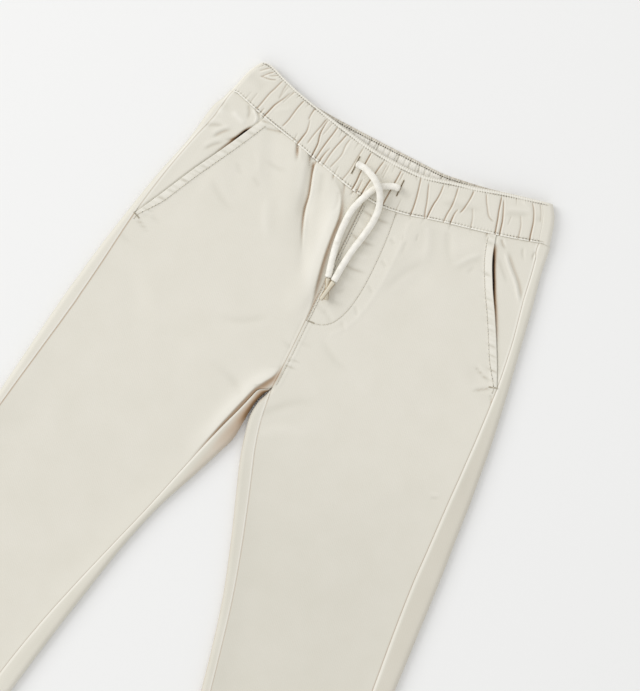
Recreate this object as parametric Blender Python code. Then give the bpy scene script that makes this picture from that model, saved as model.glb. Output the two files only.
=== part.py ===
"""Child's cotton-twill pull-on trousers, laid flat on their back, front side up.

X runs to the viewer's right (the wearer's left), Y from the hems to the waist and Z up.
Every table and size is in millimetres; the meshes are made in metres.  A panel is a grid
of points on the outside of the cloth, with the wall's thickness taken inwards from it.
The back panels lie flat, roll up round both edges of each leg and end on top, at the
side seam and the inseam, where the front panels meet them.
"""
import math

import bmesh
import bpy
import numpy as np

# ---------------------------------------------------------------- driving sizes, mm
MM = 0.001
SEAM_GAP = 0.3          # clear space between two pieces at a seam
CLOTH = 1.3             # wall of a leg panel
BAND_CLOTH = 2.0        # wall of the waistband: two layers of cloth on elastic
EDGE_HEIGHT = 6.4       # height of the rolled edges
ROLL = 4.0              # how far the rolled edge reaches in from the outline
BAND_HEIGHT = 7.8       # height of the flattened waistband
BAND_ROLL = 4.4
HEM_Y = -590.0          # inside leg, from the fork to the hem
WAIST_Y = 180.0         # waistband seam at the centre front, above the fork
SHIFT_START_Y = 40.0    # rows above this bend to follow the waistband seam
BAND_BULGE = {"left": 2.0, "right": 2.4}    # how far the band's ends bulge outwards
EDGE_FADE = 18.0        # reach of the higher cloth beside an outer edge
INSEAM_FADE = 16.0      # the same beside a leg's inner edge
QUIET_RUN = 12.0        # the folds fade out over this run, beside a rolled edge
CORD_DIAMETER = 5.5
TIP_LENGTH = 18.0
CORD_SPACING = 2.2      # distance between the cord's points, in diameters
SHARP_ANGLE = math.radians(50)      # edges sharper than this stay crisp
SETTLE_ROUNDS = 6       # rounds in which a grid's rows and columns settle on each other

# The row frame's origin, seen from the fork: the middle of the box, on the floor.
ORIGIN_X = -10.0
ORIGIN_Y = -172.7

# ---------------------------------------------------------------- outline tables, mm
# One row for each section across the legs.  "out" is the outline, "side" the side seam on
# top, "seam" the centre front above the fork and the inseam below it, "edge" the leg's
# inner outline.  Above the fork "edge" is not used.
SECTION_COLUMNS = ("y", "l_out", "l_side", "l_seam", "l_edge",
                   "r_edge", "r_seam", "r_side", "r_out")
SECTIONS = (
    (216, -134.0, -131.6, 3.3, 3.3, 3.3, 3.3, 146.5, 156.5),
    (205, -136.8, -134.5, 3.3, 3.3, 3.3, 3.3, 147.6, 157.9),
    (196, -141.4, -135.8, 3.3, 3.3, 3.3, 3.3, 150.4, 158.9),
    (186, -143.6, -137.6, 3.3, 3.3, 3.3, 3.3, 152.5, 160.4),
    (164, -147.3, -144.3, 3.3, 3.3, 3.3, 3.3, 156.0, 164.9),
    (123, -158.5, -154.5, 3.3, 3.3, 3.3, 3.3, 164.0, 172.0),
    (82, -168.0, -162.0, 3.3, 3.3, 3.3, 3.3, 169.0, 179.0),
    (41, -176.5, -167.3, 3.3, 3.3, 3.3, 3.3, 171.5, 185.0),
    (18, -180.5, -170.5, 2.9, 2.9, 2.9, 2.9, 172.4, 187.5),
    (8, -182.3, -172.0, 2.5, 2.5, 2.5, 2.5, 172.8, 188.6),
    (1.5, -183.4, -172.8, -7.2, -0.3, 0.9, 3.4, 173.0, 189.3),
    (-8, -184.8, -174.5, -10.2, -3.8, -2.6, 4.6, 173.3, 190.2),
    (-18, -186.3, -176.2, -13.3, -5.4, -3.7, 6.0, 173.7, 191.0),
    (-41, -189.5, -180.4, -21.3, -7.2, 0.4, 11.5, 174.7, 192.8),
    (-61, -192.3, -184.0, -27.5, -14.0, 6.3, 18.3, 175.6, 194.6),
    (-82, -195.2, -187.8, -33.6, -22.3, 13.9, 25.4, 176.4, 196.2),
    (-123, -200.2, -194.5, -45.3, -38.8, 28.5, 38.5, 179.6, 198.8),
    (-164, -205.0, -198.5, -58.2, -50.8, 41.6, 50.0, 183.7, 201.3),
    (-205, -209.5, -202.0, -71.0, -60.0, 51.7, 59.4, 187.8, 203.8),
    (-246, -214.0, -205.5, -82.8, -68.7, 60.3, 68.2, 191.5, 206.5),
    (-291, -219.0, -209.5, -93.5, -77.5, 69.0, 77.5, 195.0, 209.5),
    (-440, -235.5, -224.5, -120.0, -104.5, 90.5, 101.0, 206.5, 220.5),
    (-590, -252.0, -240.0, -144.0, -131.0, 111.0, 123.0, 219.0, 232.0),
)
# The slanted pocket mouths, from the bartack up to the waistband.
MOUTH_COLUMNS = ("y", "l_mouth", "r_mouth")
MOUTHS = (
    (86.4, -161.5, 168.9),
    (107, -150.4, 159.0),
    (140, -133.6, 141.0),
    (163, -120.8, 127.5),
    (185, -109.0, 117.0),
    (205, -99.0, 111.5),
)
# The waistband seam and the band's free edge, front and back, by distance across.
SEAM_COLUMNS = ("x", "y")
FRONT_SEAM = ((-128, 212.0), (-98, 203.2), (-66, 195.8), (-33, 187.3), (0, 180.7), (17, 180.0),
              (33, 181.8), (66, 190.2), (98, 197.2), (125, 203.8), (150, 211.0))
BACK_SEAM = ((-128, 212.0), (-108, 206.8), (-86, 202.0), (-56, 197.6), (-20, 195.1), (11, 194.6),
             (42, 195.1), (78, 197.6), (108, 201.7), (130, 206.1), (150, 211.0))
FRONT_TOP = ((-121.5, 243.6), (-116, 244.8), (-100, 240.0), (-90, 236.6), (-64, 229.9), (-45, 226.4),
             (-34, 224.3), (-12, 220.5), (2, 218.9), (16, 218.2), (27, 217.9), (39, 218.7),
             (48, 220.6), (66, 225.3), (80, 228.4), (107, 235.6), (136, 242.0), (143.5, 243.6))
BACK_TOP = ((-121.5, 243.6), (-116, 244.8), (-100, 240.0), (-90, 236.7), (-78, 232.9), (-62, 230.4),
            (-35, 228.9), (0, 227.8), (22, 227.3), (48, 226.8), (71, 229.3), (86, 231.6),
            (107, 235.8), (136, 242.0), (143.5, 243.6))
BAND_ENDS = {"bottom": (-134.2, 156.5), "top": (-121.5, 143.5)}
BAND_SIDE_SEAMS = (2.2, 9.8)        # from the band's left and right ends, on top

# Height of the cloth's top, away from the edges, by distance along the legs.
HEIGHT_COLUMNS = ("y", "height")
HEIGHTS = ((-590, 4.2), (-291, 4.3), (-123, 4.7), (-41, 5.6), (8, 6.1), (60, 6.0),
           (120, 6.3), (185, 6.5), (216, 6.5))

# The largest folds of the front: from one end to the other, with the half width and the
# height of a ridge, or the depth of a trough, below zero: x0, y0, x1, y1, width, height.
FOLDS = (
    (-49, 190, -38, 152, 4.5, -2.0),
    (-38, 152, -20, 112, 5.0, -1.1),
    (-60, 186, -47, 140, 9.0, 0.9),
    (-28, 182, -14, 150, 8.0, 1.3),
    (-14, 150, -10, 84, 9.0, 1.1),
    (2, 176, 1, 84, 4.0, -0.9),
    (52, 178, 46, 132, 8.0, 0.7),
    (80, 170, 70, 138, 9.0, -0.6),
    (72, 160, 104, 184, 9.0, 0.6),
    (-86, 190, -74, 164, 7.0, -0.7),
    (-150, 30, -96, 4, 16.0, -0.5),
    (150, 88, 166, 78, 5.0, -0.7),
    (120, -30, 150, -8, 14.0, 0.4),
)

# Gathers of the waistband: where each groove crosses the seam and the free edge, in
# hundredths of the band's width, its depth, and how far up the band it starts and ends.
GATHER_COLUMNS = ("low", "high", "depth", "start", "end")
FRONT_GATHERS = (
    (2.6, 1.9, 0.5, 0.5, 1.0), (5.3, 4.9, 0.5, 0.0, 0.7), (7.9, 7.8, 1.1, 0.0, 1.0),
    (11.0, 10.2, 1.2, 0.0, 1.0), (13.4, 13.1, 0.7, 0.4, 1.0), (17.0, 18.1, 1.1, 0.0, 1.0),
    (20.0, 20.9, 0.4, 0.0, 0.5), (23.3, 23.2, 1.3, 0.0, 1.0), (25.9, 25.8, 0.6, 0.0, 0.8),
    (28.6, 27.6, 1.2, 0.0, 1.0), (30.3, 30.5, 0.8, 0.0, 1.0), (32.2, 33.6, 1.2, 0.0, 1.0),
    (35.0, 36.1, 0.8, 0.0, 1.0), (37.6, 38.6, 0.5, 0.0, 0.5), (40.6, 41.2, 0.7, 0.0, 1.0),
    (43.4, 43.5, 1.2, 0.0, 1.0), (45.4, 46.0, 0.7, 0.0, 0.5), (47.4, 48.5, 1.2, 0.0, 1.0),
    (50.2, 50.7, 0.6, 0.0, 1.0), (53.8, 54.4, 1.2, 0.0, 1.0), (56.4, 56.6, 0.6, 0.5, 1.0),
    (59.2, 58.9, 0.4, 0.0, 0.5), (62.3, 61.4, 1.2, 0.0, 1.0), (65.2, 64.1, 1.1, 0.0, 1.0),
    (67.4, 67.9, 1.1, 0.0, 1.0), (71.8, 72.7, 1.2, 0.0, 1.0), (74.4, 76.6, 1.2, 0.0, 1.0),
    (79.6, 79.3, 0.6, 0.0, 0.6), (83.6, 82.0, 0.8, 0.2, 1.0), (86.7, 85.9, 0.9, 0.0, 1.0),
    (88.8, 88.2, 1.2, 0.0, 1.0), (91.2, 90.9, 0.5, 0.2, 0.8), (93.9, 93.4, 0.7, 0.0, 0.7),
)
BACK_GATHERS = (
    (2.8, 3.2, 0.8, 0.0, 1.0), (6.4, 6.0, 1.1, 0.0, 1.0), (9.6, 10.4, 0.6, 0.0, 0.6),
    (13.1, 12.9, 1.2, 0.0, 1.0), (16.8, 17.6, 1.0, 0.0, 1.0), (20.9, 20.2, 1.2, 0.0, 1.0),
    (23.6, 24.4, 0.7, 0.3, 1.0), (27.2, 27.5, 1.1, 0.0, 1.0), (30.1, 31.0, 1.0, 0.0, 1.0),
    (34.4, 33.8, 1.2, 0.0, 1.0), (37.0, 37.9, 0.7, 0.0, 0.7), (40.7, 41.0, 1.2, 0.0, 1.0),
    (44.5, 43.6, 1.0, 0.0, 1.0), (47.3, 47.8, 0.8, 0.2, 1.0), (51.2, 50.6, 1.2, 0.0, 1.0),
    (54.0, 54.8, 0.9, 0.0, 1.0), (58.1, 57.7, 1.1, 0.0, 1.0), (61.0, 61.6, 0.7, 0.0, 0.8),
    (64.7, 65.2, 1.2, 0.0, 1.0), (68.4, 67.9, 1.0, 0.0, 1.0), (72.3, 71.4, 1.2, 0.0, 1.0),
    (75.2, 75.9, 0.8, 0.4, 1.0), (79.0, 79.4, 1.1, 0.0, 1.0), (82.8, 82.1, 1.0, 0.0, 1.0),
    (86.9, 87.3, 1.2, 0.0, 1.0), (90.2, 91.0, 0.7, 0.0, 0.6), (94.1, 93.7, 1.1, 0.0, 1.0),
    (97.4, 97.0, 0.8, 0.0, 1.0),
)
GROOVE_HALF_WIDTH = 1.5
GROOVE_FADE = 0.2       # a groove fades out over this share of the band's height
SHOULDER = 1.15         # a groove's shoulders, from its middle, in half widths

# The two ends of the drawcord, from its buttonhole to its tip: across, along and up.
CORD_ROUTES = {
    "cord_right": ((-15.6, 202.5, 11.4), (-10, 202.4, 12.2), (-4, 200.9, 14.8), (4.1, 196.8, 17.5),
                   (8.6, 193.0, 17.6), (12.6, 188.4, 15.8), (16.1, 180.5, 12.0), (17.4, 172, 10.2),
                   (17.0, 162, 9.8), (15.0, 150, 9.8), (12.5, 138, 9.8), (11.0, 126, 9.8),
                   (10.2, 116, 10.4), (9.9, 108, 11.2)),
    "cord_left": ((25.4, 199.6, 11.4), (20.6, 199.3, 11.2), (15, 197.0, 11.0), (9.4, 193.2, 10.9),
                  (5.2, 188.0, 10.9), (2.2, 181, 10.8), (-0.8, 173, 9.9), (-2.7, 164, 9.8),
                  (-2.8, 150, 9.8), (-1.6, 137, 9.8), (0.8, 124, 9.8), (3.3, 113.5, 9.8),
                  (4.3, 109, 9.8)),
}
# Each tip: its two ends, across, along and up.
TIPS = {
    "tip_right": ((9.8, 107.4, 11.2), (6.8, 90.0, 14.2)),
    "tip_left": ((4.6, 108.3, 9.8), (11.0, 91.8, 8.2)),
}
# Sections of a tip: share of its length, half width and half height.
TIP_SECTIONS = ((0.0, 2.3, 2.1), (0.08, 2.2, 2.0), (0.33, 1.9, 1.5), (0.78, 1.8, 1.4), (1.0, 1.6, 1.3))
TIP_SIDES = 10

# The mock fly's facing, which lies under the front: its outer edge by height above the fork.
FLY_COLUMNS = ("y", "x")
FLY_EDGE = ((66, 9.0), (70, 22.0), (80, 32.0), (95, 36.5), (120, 38.5), (150, 38.5), (181, 36.5))
FLY_CLOTH = 1.0
FLY_CLEAR = 0.6         # between the front panel and the fly's facing
FLY_INSET = 0.5         # from the centre front seam
FLY_TOP_CLEAR = 3.0     # from the waistband seam

# Rows of the panels, as heights above the fork at the centre front.
PANEL_ROWS = (HEM_Y, -530, -460, -380, -310, -246, -196, -156, -123, -95, -70, -48, -30, -18, -8,
              1.5, 8, 18, 30, 45, 61, 78, 95, 112, 129, 145, 158, 167, 172, 176, 180)
FRONT_COLUMNS_COUNT = 14
ROLL_STEPS = (0.0, 0.18, 0.36, 0.54, 0.7, 0.84, 1.0)
FLOOR_STEPS = (0.0, 0.12, 0.24, 0.38, 0.54, 0.7, 0.85, 1.0)
FLOOR_MARGIN = 5.0      # flat stretch between a roll and the floor steps
BAND_STEPS = (0.0, 0.12, 0.36, 0.62, 0.88, 1.0)

# How the back panels rise from the floor to the fork: height of their inner end, the run
# over which it falls to the floor, and the extra clearance from the front panel's edge.
RISE_COLUMNS = ("y", "height", "run")
RISES = ((8, 3.6, 4.0), (18, 2.7, 8.0), (30, 1.2, 13.0), (45, 0.3, 17.0), (61, 0.0, 20.0),
         (216, 0.0, 20.0))
FORK_COLUMNS = ("y", "drop", "clear")
FORK = ((-18, 0.0, 0.15), (-8, 0.2, 1.0), (1.5, 2.0, 0.9), (8, 2.6, 0.15))

COLOURS = {
    "cloth": (0.73, 0.70, 0.62, 1.0),
    "cord": (0.84, 0.82, 0.75, 1.0),
    "tip": (0.50, 0.42, 0.31, 1.0),
}
CLOTH_ROUGHNESS = 0.9


# ---------------------------------------------------------------- tables and curves
def column(table, columns, name):
    """One named column of a table, as an array."""
    return np.array([row[columns.index(name)] for row in table], dtype=float)


def glide(at, xs, ys):
    """A smooth curve through the points (xs, ys) that never overshoots them."""
    order = np.argsort(xs)
    xs, ys = xs[order], ys[order]
    step = np.diff(xs)
    slope = np.diff(ys) / step
    product = slope[:-1] * slope[1:]
    total = slope[:-1] + slope[1:]
    inner = np.where(product > 0, 2 * product / np.where(total == 0, 1, total), 0.0)
    tangent = np.concatenate(([slope[0]], inner, [slope[-1]]))
    at = np.clip(at, xs[0], xs[-1])
    i = np.clip(np.searchsorted(xs, at, side="right") - 1, 0, len(xs) - 2)
    t = (at - xs[i]) / step[i]
    return ((1 + 2 * t) * (1 - t) ** 2 * ys[i] + t * (1 - t) ** 2 * step[i] * tangent[i]
            + t * t * (3 - 2 * t) * ys[i + 1] + t * t * (t - 1) * step[i] * tangent[i + 1])


def outline(name, y):
    """One of the outline's curves at the heights y."""
    return glide(y, column(SECTIONS, SECTION_COLUMNS, "y"), column(SECTIONS, SECTION_COLUMNS, name))


def mouth(side, y):
    """The front panel's outer edge: the side seam, or above the bartack the pocket mouth."""
    curve = glide(y, column(MOUTHS, MOUTH_COLUMNS, "y"), column(MOUTHS, MOUTH_COLUMNS, side + "_mouth"))
    return np.where(y < MOUTHS[0][0], outline(side + "_side", y), curve)


def across(table, x):
    """A curve given by distance across, level past its two ends."""
    return glide(x, column(table, SEAM_COLUMNS, "x"), column(table, SEAM_COLUMNS, "y"))


def smoothstep(t):
    t = np.clip(t, 0.0, 1.0)
    return t * t * (3 - 2 * t)


# ---------------------------------------------------------------- the cloth's surface
def folds(x, y):
    """Sum of the front's ridges and troughs, each a bell across its line and soft at its ends."""
    total = np.zeros(np.broadcast(x, y).shape)
    for x0, y0, x1, y1, width, height in FOLDS:
        length = math.hypot(x1 - x0, y1 - y0)
        ux, uy = (x1 - x0) / length, (y1 - y0) / length
        along = (x - x0) * ux + (y - y0) * uy
        off = (x - x0) * uy - (y - y0) * ux
        past = np.maximum(np.maximum(-along, along - length), 0.0)
        total = total + height * np.exp(-(off / width) ** 2 - (past / (2 * width)) ** 2)
    return total


def sign(side):
    return -1.0 if side == "l" else 1.0


def top_height(side, x, y):
    """Height of the laid garment's top: low in the middle of a panel, higher at its edges."""
    base = glide(y, column(HEIGHTS, HEIGHT_COLUMNS, "y"), column(HEIGHTS, HEIGHT_COLUMNS, "height"))
    from_out = sign(side) * (outline(side + "_out", y) - x)
    from_edge = sign(side) * (x - outline(side + "_edge", y))
    near = np.exp(-(from_out / EDGE_FADE) ** 2)
    legs = smoothstep((FORK[-1][0] - y) / INSEAM_FADE)
    near = np.maximum(near, legs * np.exp(-(from_edge / INSEAM_FADE) ** 2))
    quiet = smoothstep((from_out - ROLL) / QUIET_RUN)
    return base + (EDGE_HEIGHT - base) * near + folds(x, y) * quiet


def roll_angle(distance, radius):
    """Angle up a rolled edge, from its middle, at a distance in from the outline."""
    return np.arccos(np.clip(1 - distance / radius, 0.0, 1.0))


def skin(side, x, y):
    """The laid garment's top surface: its height and its normal across the legs."""
    from_out = sign(side) * (outline(side + "_out", y) - x)
    from_edge = sign(side) * (x - outline(side + "_edge", y))
    height = top_height(side, x, y)
    slope = top_height(side, x + 0.5, y) - top_height(side, x - 0.5, y)
    at_edge = (y < FORK[-1][0]) & (from_edge < ROLL)
    distance = np.where(at_edge, from_edge, from_out)
    facing = np.where(at_edge, -sign(side), sign(side))
    angle = roll_angle(distance, ROLL)
    rolled = distance < ROLL
    z = height * (1 + np.sin(angle)) / 2
    nx = np.where(rolled, facing * np.cos(angle) / ROLL, -slope)
    nz = np.where(rolled, np.sin(angle) / (height / 2), 1.0)
    return z, nx, nz


def row_y(x, row, top):
    """Height above the fork of a grid row: level near the fork, along the seam at the waist."""
    share = np.clip((row - SHIFT_START_Y) / (WAIST_Y - SHIFT_START_Y), 0.0, None)
    return row + (top - WAIST_Y - SEAM_GAP / 2) * share


def settle(rows, place, seam):
    """Find x and y of a grid whose rows bend with x while its columns bend with y."""
    x = place(rows)
    for _ in range(SETTLE_ROUNDS):
        y = row_y(x, rows, across(seam, x))
        x = place(y)
    return x, y


def unit(nx, nz):
    size = np.hypot(nx, nz)
    return nx / size, nz / size


# ---------------------------------------------------------------- making solids
def material(name, kind):
    """A plain finish for one node."""
    finish = bpy.data.materials.new(name)
    finish.use_nodes = True
    shader = finish.node_tree.nodes["Principled BSDF"]
    shader.inputs["Base Color"].default_value = COLOURS[kind]
    shader.inputs["Roughness"].default_value = CLOTH_ROUGHNESS
    shader.inputs["Metallic"].default_value = 0.0
    return finish


def add_object(name, mesh, kind):
    mesh.materials.append(material(name, kind))
    piece = bpy.data.objects.new(name, mesh)
    bpy.context.scene.collection.objects.link(piece)
    return piece


def to_row_frame(points):
    """From millimetres at the fork to metres at the row's origin."""
    return (points - np.array([ORIGIN_X, ORIGIN_Y, 0.0])) * MM


def cloth_wall(name, outer, inner, kind="cloth"):
    """A closed wall between two grids of points, with a rim all round."""
    rows, cols = outer.shape[:2]
    count = rows * cols
    points = to_row_frame(np.concatenate((outer.reshape(-1, 3), inner.reshape(-1, 3))))
    index = np.arange(count).reshape(rows, cols)
    quads = np.stack((index[:-1, :-1], index[:-1, 1:], index[1:, 1:], index[1:, :-1]), axis=-1)
    faces = quads.reshape(-1, 4).tolist()
    faces += (quads[..., ::-1] + count).reshape(-1, 4).tolist()
    rim = np.concatenate((index[0, :-1], index[:-1, -1], index[-1, :0:-1], index[:0:-1, 0]))
    after = np.roll(rim, -1)
    faces += np.stack((after, rim, rim + count, after + count), axis=-1).tolist()
    mesh = bpy.data.meshes.new(name)
    mesh.from_pydata(points.tolist(), [], faces)
    body = bmesh.new()
    body.from_mesh(mesh)
    bmesh.ops.recalc_face_normals(body, faces=body.faces)
    body.to_mesh(mesh)
    body.free()
    mesh.shade_smooth()
    mesh.set_sharp_from_angle(angle=SHARP_ANGLE)
    return add_object(name, mesh, kind)


def grid(x, y, z):
    return np.stack(np.broadcast_arrays(x, y, z), axis=-1)


def inwards(outer, nx, nz, thickness):
    """The wall's inner side: the outer points moved along their normals."""
    nx, nz = unit(nx, nz)
    return outer - grid(nx, 0.0, nz) * np.asarray(thickness)[..., None]


# ---------------------------------------------------------------- panels
def front_panel(side, name):
    """From the centre front or the inseam to the side seam or the pocket mouth."""
    rows = np.array(PANEL_ROWS, dtype=float)[:, None]
    steps = np.linspace(0.0, 1.0, FRONT_COLUMNS_COUNT)[None, :]
    half = sign(side) * SEAM_GAP / 2

    def place(y):
        inner = outline(side + "_seam", y) + half
        outer = mouth(side, y) - half
        return inner + (outer - inner) * steps

    x, y = settle(rows, place, FRONT_SEAM)
    z, nx, nz = skin(side, x, y)
    outer = grid(x, y, z)
    return cloth_wall(name, outer, inwards(outer, nx, nz, CLOTH))


def outer_roll(side, y):
    """The back panel's outer edge, from the side seam down to the floor."""
    steps = np.array(ROLL_STEPS)[None, :]
    start = outline(side + "_side", y) + sign(side) * SEAM_GAP / 2
    depth = sign(side) * (outline(side + "_out", y) - start)
    quarter = math.pi * ROLL / 2
    top = np.where(depth < ROLL, ROLL * roll_angle(depth, ROLL), quarter + depth - ROLL)
    return roll_points(side, y, top + (-quarter - top) * steps, outline(side + "_out", y), sign(side))


def inner_roll(side, y, clear, drop):
    """The back panel's inner edge on a leg, from the floor up to the inseam."""
    steps = np.array(ROLL_STEPS)[None, :]
    end = outline(side + "_seam", y) - sign(side) * clear
    depth = sign(side) * (end - outline(side + "_edge", y))
    quarter = math.pi * ROLL / 2
    top = np.where(depth < ROLL, ROLL * roll_angle(depth, ROLL), quarter + depth - ROLL)
    x, z, nx, nz = roll_points(side, y, -quarter + (top + quarter) * steps,
                               outline(side + "_edge", y), -sign(side))
    return x, z * (1 - drop / EDGE_HEIGHT), nx, nz


def roll_points(side, y, arc, edge, facing):
    """Points on a rolled edge at arc lengths from its middle: above zero on top."""
    angle = np.clip(arc / ROLL, -math.pi / 2, math.pi / 2)
    inward = ROLL * (1 - np.cos(angle)) + np.maximum(np.abs(arc) - math.pi * ROLL / 2, 0.0)
    x = edge - facing * inward
    height = top_height(side, x, y)
    z = height * (1 + np.sin(angle)) / 2
    slope = top_height(side, x + 0.5, y) - top_height(side, x - 0.5, y)
    flat_top = arc > math.pi * ROLL / 2
    nx = np.where(flat_top, -slope, facing * np.cos(angle) / ROLL)
    nz = np.where(flat_top, 1.0, np.sin(angle) / (height / 2))
    return x, z, nx, nz


def rise(side, y):
    """The back panel's inner end in the hips: it climbs from the floor towards the fork."""
    steps = np.array(ROLL_STEPS)[None, :]
    rises_y = column(RISES, RISE_COLUMNS, "y")
    height = glide(y, rises_y, column(RISES, RISE_COLUMNS, "height"))
    run = glide(y, rises_y, column(RISES, RISE_COLUMNS, "run"))
    left = 1 - steps
    x = outline(side + "_seam", y) + sign(side) * (SEAM_GAP / 2 + run * left)
    z = height * (1 - left) ** 2
    nx = -sign(side) * 2 * height * (1 - left)
    nz = -run * np.ones_like(z)
    return x, z, nx, nz


def back_panel(side, name):
    """From the side seam, round the outer edge, along the floor and up to the inseam."""
    rows = np.array(PANEL_ROWS, dtype=float)[:, None]
    fork_y = column(FORK, FORK_COLUMNS, "y")

    def section(y_out, y_floor, y_in):
        ax, az, anx, anz = outer_roll(side, y_out)
        clear = glide(y_in, fork_y, column(FORK, FORK_COLUMNS, "clear"))
        drop = glide(y_in, fork_y, column(FORK, FORK_COLUMNS, "drop"))
        leg = inner_roll(side, y_in, clear, drop)
        hip = rise(side, y_in)
        bx, bz, bnx, bnz = (np.where(rows < FORK[-1][0], a, b) for a, b in zip(leg, hip))
        start = ax[:, -1:] - sign(side) * FLOOR_MARGIN
        end = bx[:, :1] + sign(side) * FLOOR_MARGIN
        fx = start + (end - start) * np.array(FLOOR_STEPS)[None, :]
        flat = np.zeros_like(fx)
        return (np.hstack((ax, fx, bx)), np.hstack((az, flat, bz)),
                np.hstack((anx, flat, bnx)), np.hstack((anz, flat - 1, bnz)))

    n_roll, n_floor = len(ROLL_STEPS), len(FLOOR_STEPS)
    y = np.repeat(rows, 2 * n_roll + n_floor, axis=1)
    for _ in range(SETTLE_ROUNDS):
        x, z, nx, nz = section(y[:, :n_roll], y[:, n_roll:n_roll + n_floor], y[:, -n_roll:])
        on_top = z > EDGE_HEIGHT / 2
        top = np.where(on_top, across(FRONT_SEAM, x), across(BACK_SEAM, x))
        top = np.where(rows < SHIFT_START_Y, WAIST_Y, top)
        y = row_y(x, rows, top)
    outer = grid(x, y, z)
    return cloth_wall(name, outer, inwards(outer, nx, nz, CLOTH))


# ---------------------------------------------------------------- waistband
def gathers(table, share, up):
    """Depth of the band's grooves at a share of its width and a height up the band."""
    depth = np.zeros(np.broadcast(share, up).shape)
    width = BAND_ENDS["bottom"][1] - BAND_ENDS["bottom"][0]
    for low, high, deep, start, end in table:
        centre = (low + (high - low) * up) / 100
        fade = smoothstep((up - start) / GROOVE_FADE + 1) * smoothstep((end - up) / GROOVE_FADE + 1)
        off = (share - centre) * width / GROOVE_HALF_WIDTH
        depth = depth + deep * fade * np.exp(-off * off)
    return depth


def gather_columns(table, up):
    """Shares of the band's width for a groove's middle and its two shoulders."""
    width = BAND_ENDS["bottom"][1] - BAND_ENDS["bottom"][0]
    shoulder = SHOULDER * GROOVE_HALF_WIDTH / width
    low = column(table, GATHER_COLUMNS, "low") / 100
    high = column(table, GATHER_COLUMNS, "high") / 100
    centre = low + (high - low) * up
    return np.stack((centre - shoulder, centre, centre + shoulder), axis=-1).reshape(len(up), -1)


def band_ends(up):
    """The band's two ends, from its seam to its free edge: they bulge above the middle."""
    bulge = np.sin(math.pi * up ** 1.5)
    left = BAND_ENDS["bottom"][0] + (BAND_ENDS["top"][0] - BAND_ENDS["bottom"][0]) * up
    right = BAND_ENDS["bottom"][1] + (BAND_ENDS["top"][1] - BAND_ENDS["bottom"][1]) * up
    return left - BAND_BULGE["left"] * bulge, right + BAND_BULGE["right"] * bulge


def band_point(x, up, seam, top):
    """Height above the fork of a point of the band, between its seam and its free edge."""
    left, right = band_ends(up)
    share = (x - left) / (right - left)
    x_low = BAND_ENDS["bottom"][0] + share * (BAND_ENDS["bottom"][1] - BAND_ENDS["bottom"][0])
    x_high = BAND_ENDS["top"][0] + share * (BAND_ENDS["top"][1] - BAND_ENDS["top"][0])
    low = across(seam, x_low) + SEAM_GAP / 2
    return low + (across(top, x_high) - low) * up


def band_skin(x, up):
    """The band's rolled ends: the angle up the roll, and which way it faces."""
    left, right = band_ends(up)
    from_left, from_right = x - left, right - x
    distance = np.minimum(from_left, from_right)
    facing = np.where(from_left < from_right, -1.0, 1.0)
    return roll_angle(distance, BAND_ROLL), facing, distance


def band_wall(name, x, y, z, nx, nz, depth):
    """The gathers are sunk in the outer side, and half as deep in the inner side."""
    nx, nz = unit(nx, nz)
    normal = grid(nx, 0.0, nz)
    smooth = grid(x, y, z)
    outer = smooth - normal * depth[..., None]
    inner = smooth - normal * (BAND_CLOTH + depth / 2)[..., None]
    return cloth_wall(name, outer, inner)


def band_front():
    """The gathered front half, on top."""
    up = np.array(BAND_STEPS)[:, None]
    left, right = band_ends(up)
    share = gather_columns(FRONT_GATHERS, up)
    start = left + BAND_SIDE_SEAMS[0] + SEAM_GAP / 2
    end = right - BAND_SIDE_SEAMS[1] - SEAM_GAP / 2
    x = np.hstack((start, left + share * (right - left), end))
    angle, facing, distance = band_skin(x, up)
    z = BAND_HEIGHT * (1 + np.sin(angle)) / 2
    rolled = distance < BAND_ROLL
    nx = np.where(rolled, facing * np.cos(angle) / BAND_ROLL, 0.0)
    nz = np.where(rolled, np.sin(angle) / (BAND_HEIGHT / 2), 1.0)
    y = band_point(x, up, FRONT_SEAM, FRONT_TOP)
    depth = gathers(FRONT_GATHERS, (x - left) / (right - left), up)
    depth[:, 0] = depth[:, -1] = 0.0
    return band_wall("waistband_front", x, y, z, nx, nz, depth)


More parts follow.
